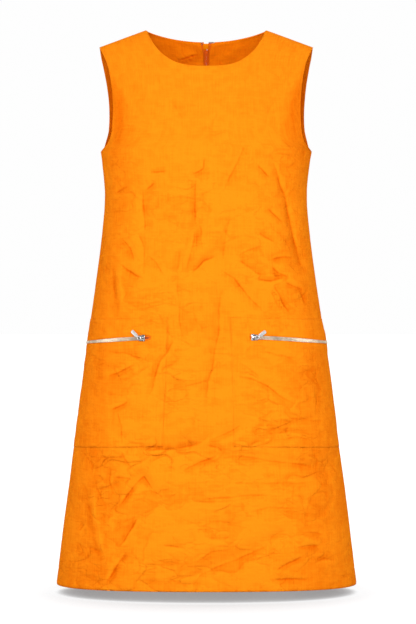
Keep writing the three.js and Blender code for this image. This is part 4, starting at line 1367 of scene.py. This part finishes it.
def box_template(x0, x1, y0, y1, z0, z1, round_width):
    bm = bmesh.new()
    bmesh.ops.create_cube(bm, size=1.0)
    bmesh.ops.scale(bm, verts=bm.verts, vec=(x1 - x0, y1 - y0, z1 - z0))
    bmesh.ops.translate(bm, verts=bm.verts, vec=((x0 + x1) / 2, (y0 + y1) / 2, (z0 + z1) / 2))
    soften(bm, round_width, segments=1)
    return bm


class Thread:
    """A line on the cloth, read by the distance run along it in millimetres."""

    def __init__(self, points, normals):
        self.points, self.normals = points, normals
        self.run = np.concatenate([[0], np.cumsum(np.linalg.norm(np.diff(points, axis=0), axis=1))])
        self.length = self.run[-1]

    def read(self, place, table):
        return [np.interp(place, self.run, table[:, axis]) for axis in range(3)]

    def seat(self, place, reach):
        """Where a tooth or a stitch sits, which way the line runs there, and the way out of the cloth."""
        along = Vector(self.read(place + reach, self.points)) - Vector(self.read(place - reach, self.points))
        at = Vector(self.read(place, self.points))
        if place > self.length:
            at += along.normalized() * (place - self.length)
        return at, along, self.read(place, self.normals)


def merge(target, part, matrix=None):
    """Adds a copy of a part to a bmesh, moved by the matrix if there is one."""
    mesh = bpy.data.meshes.new("part")
    part.to_mesh(mesh)
    if matrix:
        mesh.transform(matrix)
    target.from_mesh(mesh)
    bpy.data.meshes.remove(mesh)


def stamp(target, template, matrix):
    """Adds a copy of a small template, in millimetres, at a place in metres."""
    merge(target, template, matrix @ Matrix.Scale(MM, 4))


class DRESS_OT_pocket_zips(bpy.types.Operator):
    """Make the teeth, tapes, sliders, rings and pulls of the pocket zips"""

    bl_idname = "dress.pocket_zips"
    bl_label = "Pocket zips"

    def execute(self, context):
        sizes = sizes_of(context)
        for name, pocket in POCKETS.items():
            self.tape(name, pocket, sizes)
            self.teeth(name, pocket, sizes)
            self.mouth(name, pocket, sizes)
            pull = f"{name}_pull"
            polished_copy(f"pocket_slider_{name}", f"slider_{name}", "dress", "worn_nickel", 0.28)
            polished_copy(f"pull_ring_{name}", f"ring_{name}", pull, "nickel_plate", 0)
            polished_copy(f"pull_bar_{name}", f"pull_{name}", pull, "nickel_plate", 0.3, 0.55)
        return {"FINISHED"}

    def tape(self, name, pocket, sizes):
        shares = even_shares((pocket["side"], pocket["slot_end"]), (40,))
        half = TAPE_HALF_HEIGHT
        rows = lower_rows(((ZIP_Z - half, ZIP_DROOP), (ZIP_Z + half, ZIP_DROOP)), (10,))
        bm = cloth_sheet("front", 0, shares, rows, GAP + TAPE, sizes)
        node = f"pocket_tape_{name}"
        piece = add_piece(bm, f"tape_{name}", "dress", "zip_tape_cloth", [node], TAPE * MM)
        width = cloth_width(pocket["side"], pocket["slot_end"], ZIP_GIRTH)

    def teeth(self, name, pocket, sizes):
        """Alternate teeth reach from each tape past the middle, up to the tail of the slider."""
        side = pocket["side"]
        table = np.array(even_shares((side, pocket["slider"]), (400,)))
        points, normals = zip_spots(table, sizes)
        line = Thread(points, normals)
        foot, top = TAPE + 2 * GAP, 3.0
        # A broad body clamped on the tape's edge, and a narrow head that meshes past the middle
        body, head = (1.0, 0.75, ZIP_SLOT + 0.1), (0.48, -0.7, 1.2)
        upper, lower = bmesh.new(), bmesh.new()
        for tooth, way in ((upper, 1), (lower, -1)):
            for half_width, near, far in (body, head):
                ends = sorted((near * way, far * way))
                merge(tooth, box_template(-half_width, half_width, *ends, foot, top, 0.22))
        made = bmesh.new()
        first, past_slider = 1.4, 2.2
        for k, place in enumerate(np.arange(first, line.length + past_slider, sizes.tooth_pitch / MM)):
            narrow = float(slot_narrowing(np.interp(place, line.run, table)))
            seat = seat_matrix(*line.seat(place, 1)) @ Matrix.Diagonal((1, narrow, 1, 1))
            stamp(made, upper if k % 2 else lower, seat)
        stop = box_template(-0.9, 0.7, -2.9, 2.9, foot, 3.1, 0.3)
        stamp(made, stop, seat_matrix(points[4], points[8] - points[0], normals[4]))
        mark_sharp(made)
        add_piece(made, f"teeth_{name}", "dress", "tooth_metal", [f"pocket_teeth_{name}"])

    def mouth(self, name, pocket, sizes):
        """A dark sheet in the open end of the slot ahead of the slider: a painted shadow where the inside of
        the pocket shows.
        """
        columns, rows = 14, 6
        shares = even_shares((pocket["slider"], pocket["slot_end"]), (columns,))
        start = column_angle(pocket["slider"])
        length = column_angle(pocket["slot_end"]) - start

        def place():
            share = np.array(shares)[:, None] + np.zeros((1, rows + 1))
            t = (column_angle(share) - start) / length
            half = 2.0 * np.sqrt(np.clip(1 - (t / 0.8) ** 2, 0.0, 1.0)) + 0.05
            up = np.linspace(-1, 1, rows + 1)[None, :] * half
            out = np.full(share.shape, GAP + TAPE + 0.25)
            return cloth_spots("front", 0, share, rows_at(ZIP_Z + up, ZIP_DROOP), out, sizes)

        bm = laid_sheet(columns, rows, place)
        add_piece(bm, f"zip_mouth_shadow_{name}", "dress", "pocket_shadow", (), MOUTH_WALL * MM)


def polished_copy(node, name, body, finish, edge, plating=0.0):
    """A hard part from the solid's own mesh. edge is how far its edges are rounded, and plating its coat."""
    bm = bmesh.new()
    bm.from_mesh(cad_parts[node].data)
    bmesh.ops.remove_doubles(bm, verts=bm.verts, dist=2e-6)
    bmesh.ops.dissolve_limit(bm, angle_limit=0.02, verts=bm.verts, edges=bm.edges)
    bm.normal_update()
    for vertex in bm.verts:
        vertex.co += vertex.normal * plating * MM
    if edge:
        soften(bm, edge * MM, 2, 0.6)
    mark_sharp(bm, 0.7)
    return add_piece(bm, name, body, finish, [node])


# ---- Back zip ----
def back_spots(x, z, out, sizes):
    """Points and normals on one back panel at places beside its centre edge, below the neckline."""
    y = np.sqrt(depth_squared("back", np.abs(x), z)) + sizes.seam_gap / MM / 2
    normal = normal_at("back", x, z)
    return np.stack([hang(x, z), y, z], axis=-1) + normal * np.asarray(out)[..., None], normal


class DRESS_OT_back_zip(bpy.types.Operator):
    """Make the tapes, coil, slider and tab of the back zip, with the hook and eye above it"""

    bl_idname = "dress.back_zip"
    bl_label = "Back zip"

    def execute(self, context):
        sizes = sizes_of(context)
        for name, side in SIDES.items():
            self.tape(name, side, sizes)
        self.coil(sizes)
        polished_copy("back_slider", "back_slider_body", "dress", "zip_enamel", 0.4)
        polished_copy("back_tab", "back_slider_tab", "back_pull", "zip_enamel", 0.2)
        polished_copy("back_hook", "hook", "dress", "nickel_plate", 0.18)
        polished_copy("back_eye", "eye", "dress", "nickel_plate", 0.18)
        return {"FINISHED"}

    def tape(self, name, side, sizes):
        heights = np.linspace(BACK_ZIP_END_Z + 1, -BACK_NECK_DROP - 3, 110)
        columns = 6
        inner, outer = 0.7, 11.3  # the tape's edges, from the centre back

        def place():
            z = heights[None, :] + np.zeros((columns + 1, 1))
            reach = np.linspace(inner, outer, columns + 1)[:, None]
            # The inner edge turns aside above the slider
            x = side * (reach + 3.2 * smooth((z + 30) / 16) * (1 - reach / outer)) + z * 0
            point, normal = back_spots(x, z, np.full(z.shape, -1.8), sizes)
            return point, normal, np.stack([x, z], axis=-1)

        bm = laid_sheet(columns, len(heights) - 1, place)
        piece_name, node = f"back_zip_tape_{name}", f"back_tape_{name}"
        piece = add_piece(bm, piece_name, "dress", "zip_tape_cloth", [node], TAPE * MM)

    def coil(self, sizes):
        """Two rows of nylon loops that mesh down the middle, each wound round the zip's own line."""
        bottom, top, pitch = BACK_ZIP_END_Z + 12, BACK_SLIDER_Z - 6, 1.3
        wire, loop = 0.34, 0.72  # radius of the nylon, and of a loop before it is flattened
        wide, thin, apart = 2.35, 0.62, 1.95  # how a loop is flattened, and from the middle to its row
        depth = 3.55  # of the coil's middle under the outside of the backs
        turns = int((top - bottom) / pitch)
        steps = 8
        made = bmesh.new()
        for side in (-1, 1):
            ring = bmesh.new()
            bmesh.ops.create_circle(ring, segments=5, radius=wire)
            upright = Matrix.Rotation(math.pi / 2, 3, "X")
            bmesh.ops.rotate(ring, verts=ring.verts, cent=(0, 0, 0), matrix=upright)
            bmesh.ops.translate(ring, verts=ring.verts, vec=(loop, 0, 0))
            bmesh.ops.spin(
                ring,
                geom=ring.edges[:] + ring.verts[:],
                cent=(0, 0, 0),
                axis=(0, 0, 1),
                dvec=(0, 0, pitch / steps),
                angle=2 * math.pi * turns * side,
                steps=steps * turns,
                use_duplicate=False,
            )
            bmesh.ops.remove_doubles(ring, verts=ring.verts, dist=1e-4)
            bmesh.ops.holes_fill(ring, edges=ring.edges, sides=6)
            bmesh.ops.scale(ring, verts=ring.verts, vec=(wide, thin, 1))
            bmesh.ops.translate(ring, verts=ring.verts, vec=(side * apart, 0, bottom + side * pitch / 4))
            merge(made, ring)
            ring.free()
        bmesh.ops.recalc_face_normals(made, faces=made.faces)
        flat = np.array([v.co[:] for v in made.verts])
        points, _ = back_spots(flat[:, 0], flat[:, 2], -depth - flat[:, 1], sizes)
        for vertex, point in zip(made.verts, points):
            vertex.co = Vector(point) * MM
        mark_sharp(made, 1.2)
        add_piece(made, "back_zip_coil", "dress", "coil_nylon", ["back_coil"])


# ---- Stitching ----
class DRESS_OT_stitching(bpy.types.Operator):
    """Topstitch the edges of the pockets and the sides of their zips"""

    bl_idname = "dress.stitching"
    bl_label = "Topstitching"

    stitch: bpy.props.FloatProperty(
        name="Stitch length", description="From one needle hole to the next", default=0.0026, unit="LENGTH"
    )

    def execute(self, context):
        sizes = sizes_of(context)
        for name, pocket in POCKETS.items():
            made = bmesh.new()
            for line in self.lines(pocket):
                self.sew(made, line, sizes)
            mark_sharp(made, 1.5)
            add_piece(made, f"topstitching_{name}", "dress", "sewing_thread")
        return {"FINISHED"}

    def lines(self, pocket):
        """Paths as (share, height, droop) along the edges of a patch and its slot."""
        side, seam = pocket["side"], pocket["side"] * 0.9995
        inset, beside = 2.2, 2.0  # from the patch's edge, and from its slot
        edge = share_at(column_angle(pocket["inner"]) + side * inset / ZIP_GIRTH)
        end = share_at(column_angle(pocket["slot_end"]) - side * beside / ZIP_GIRTH)
        low, high = (POCKET_BOTTOM[0] + inset, POCKET_BOTTOM[1]), (POCKET_TOP[0] - inset, POCKET_TOP[1])
        under, over = (
            (ZIP_Z + way * (SLOT_HALF_HEIGHT + beside), ZIP_DROOP) for way in (-1, 1)
        )
        t = np.linspace(0, 1, 120)[:, None]

        def straight(start, stop, t=t):
            return np.array(start) + (np.array(stop) - np.array(start)) * t

        yield straight((seam, *high), (edge, *high))
        yield straight((edge, *high), (edge, *low))
        yield straight((edge, *low), (seam, *low))
        yield straight((seam, *over), (end, *over))
        yield straight((end, *over), (end, *under), t[::10])
        yield straight((end, *under), (seam, *under))

    def sew(self, made, line, sizes):
        share, height, droop = line.T
        out = zip_row_out(height) + sizes.patch_wall / MM - 0.02
        seam = Thread(*cloth_spots("front", 0, share, rows_at(height, droop), out, sizes)[:2])
        step = self.stitch / MM
        template = bmesh.new()
        bmesh.ops.create_uvsphere(template, u_segments=6, v_segments=4, radius=1.0)
        bmesh.ops.scale(template, verts=template.verts, vec=(step * 0.42, 0.2, 0.17))
        for place in np.arange(step / 2, seam.length, step):
            stamp(made, template, seat_matrix(*seam.seat(place, 0.8)))


class VIEW3D_PT_dress(bpy.types.Panel):
    bl_label = "Linen dress"
    bl_space_type = "VIEW_3D"
    bl_region_type = "UI"
    bl_category = "Dress"

    def draw(self, context):
        column = self.layout.column(align=True)
        for operator in OPERATORS:
            column.operator(operator.bl_idname)
        for group in (context.scene.dress_sizes, context.scene.dress_colours):
            box = self.layout.box()
            for name in group.bl_rna.properties.keys():
                if name not in {"rna_type", "name"}:
                    box.prop(group, name)


OPERATORS = (
    DRESS_OT_stage,
    DRESS_OT_front,
    DRESS_OT_backs,
    DRESS_OT_pockets,
    DRESS_OT_facings,
    DRESS_OT_turnings,
    DRESS_OT_pocket_zips,
    DRESS_OT_back_zip,
    DRESS_OT_stitching,
)
CLASSES = (DressSizes, DressColours, *OPERATORS, VIEW3D_PT_dress)


def register():
    for cls in CLASSES:
        bpy.utils.register_class(cls)
    bpy.types.Scene.dress_sizes = bpy.props.PointerProperty(type=DressSizes)
    bpy.types.Scene.dress_colours = bpy.props.PointerProperty(type=DressColours)


def unregister():
    del bpy.types.Scene.dress_colours
    del bpy.types.Scene.dress_sizes
    for cls in reversed(CLASSES):
        bpy.utils.unregister_class(cls)


def main():
    register()
    bpy.ops.dress.stage()
    bpy.ops.dress.front()
    bpy.ops.dress.backs()
    bpy.ops.dress.pockets()
    bpy.ops.dress.facings()
    bpy.ops.dress.turnings()
    bpy.ops.dress.pocket_zips()
    bpy.ops.dress.back_zip()
    bpy.ops.dress.stitching()


if __name__ == "__main__":
    main()
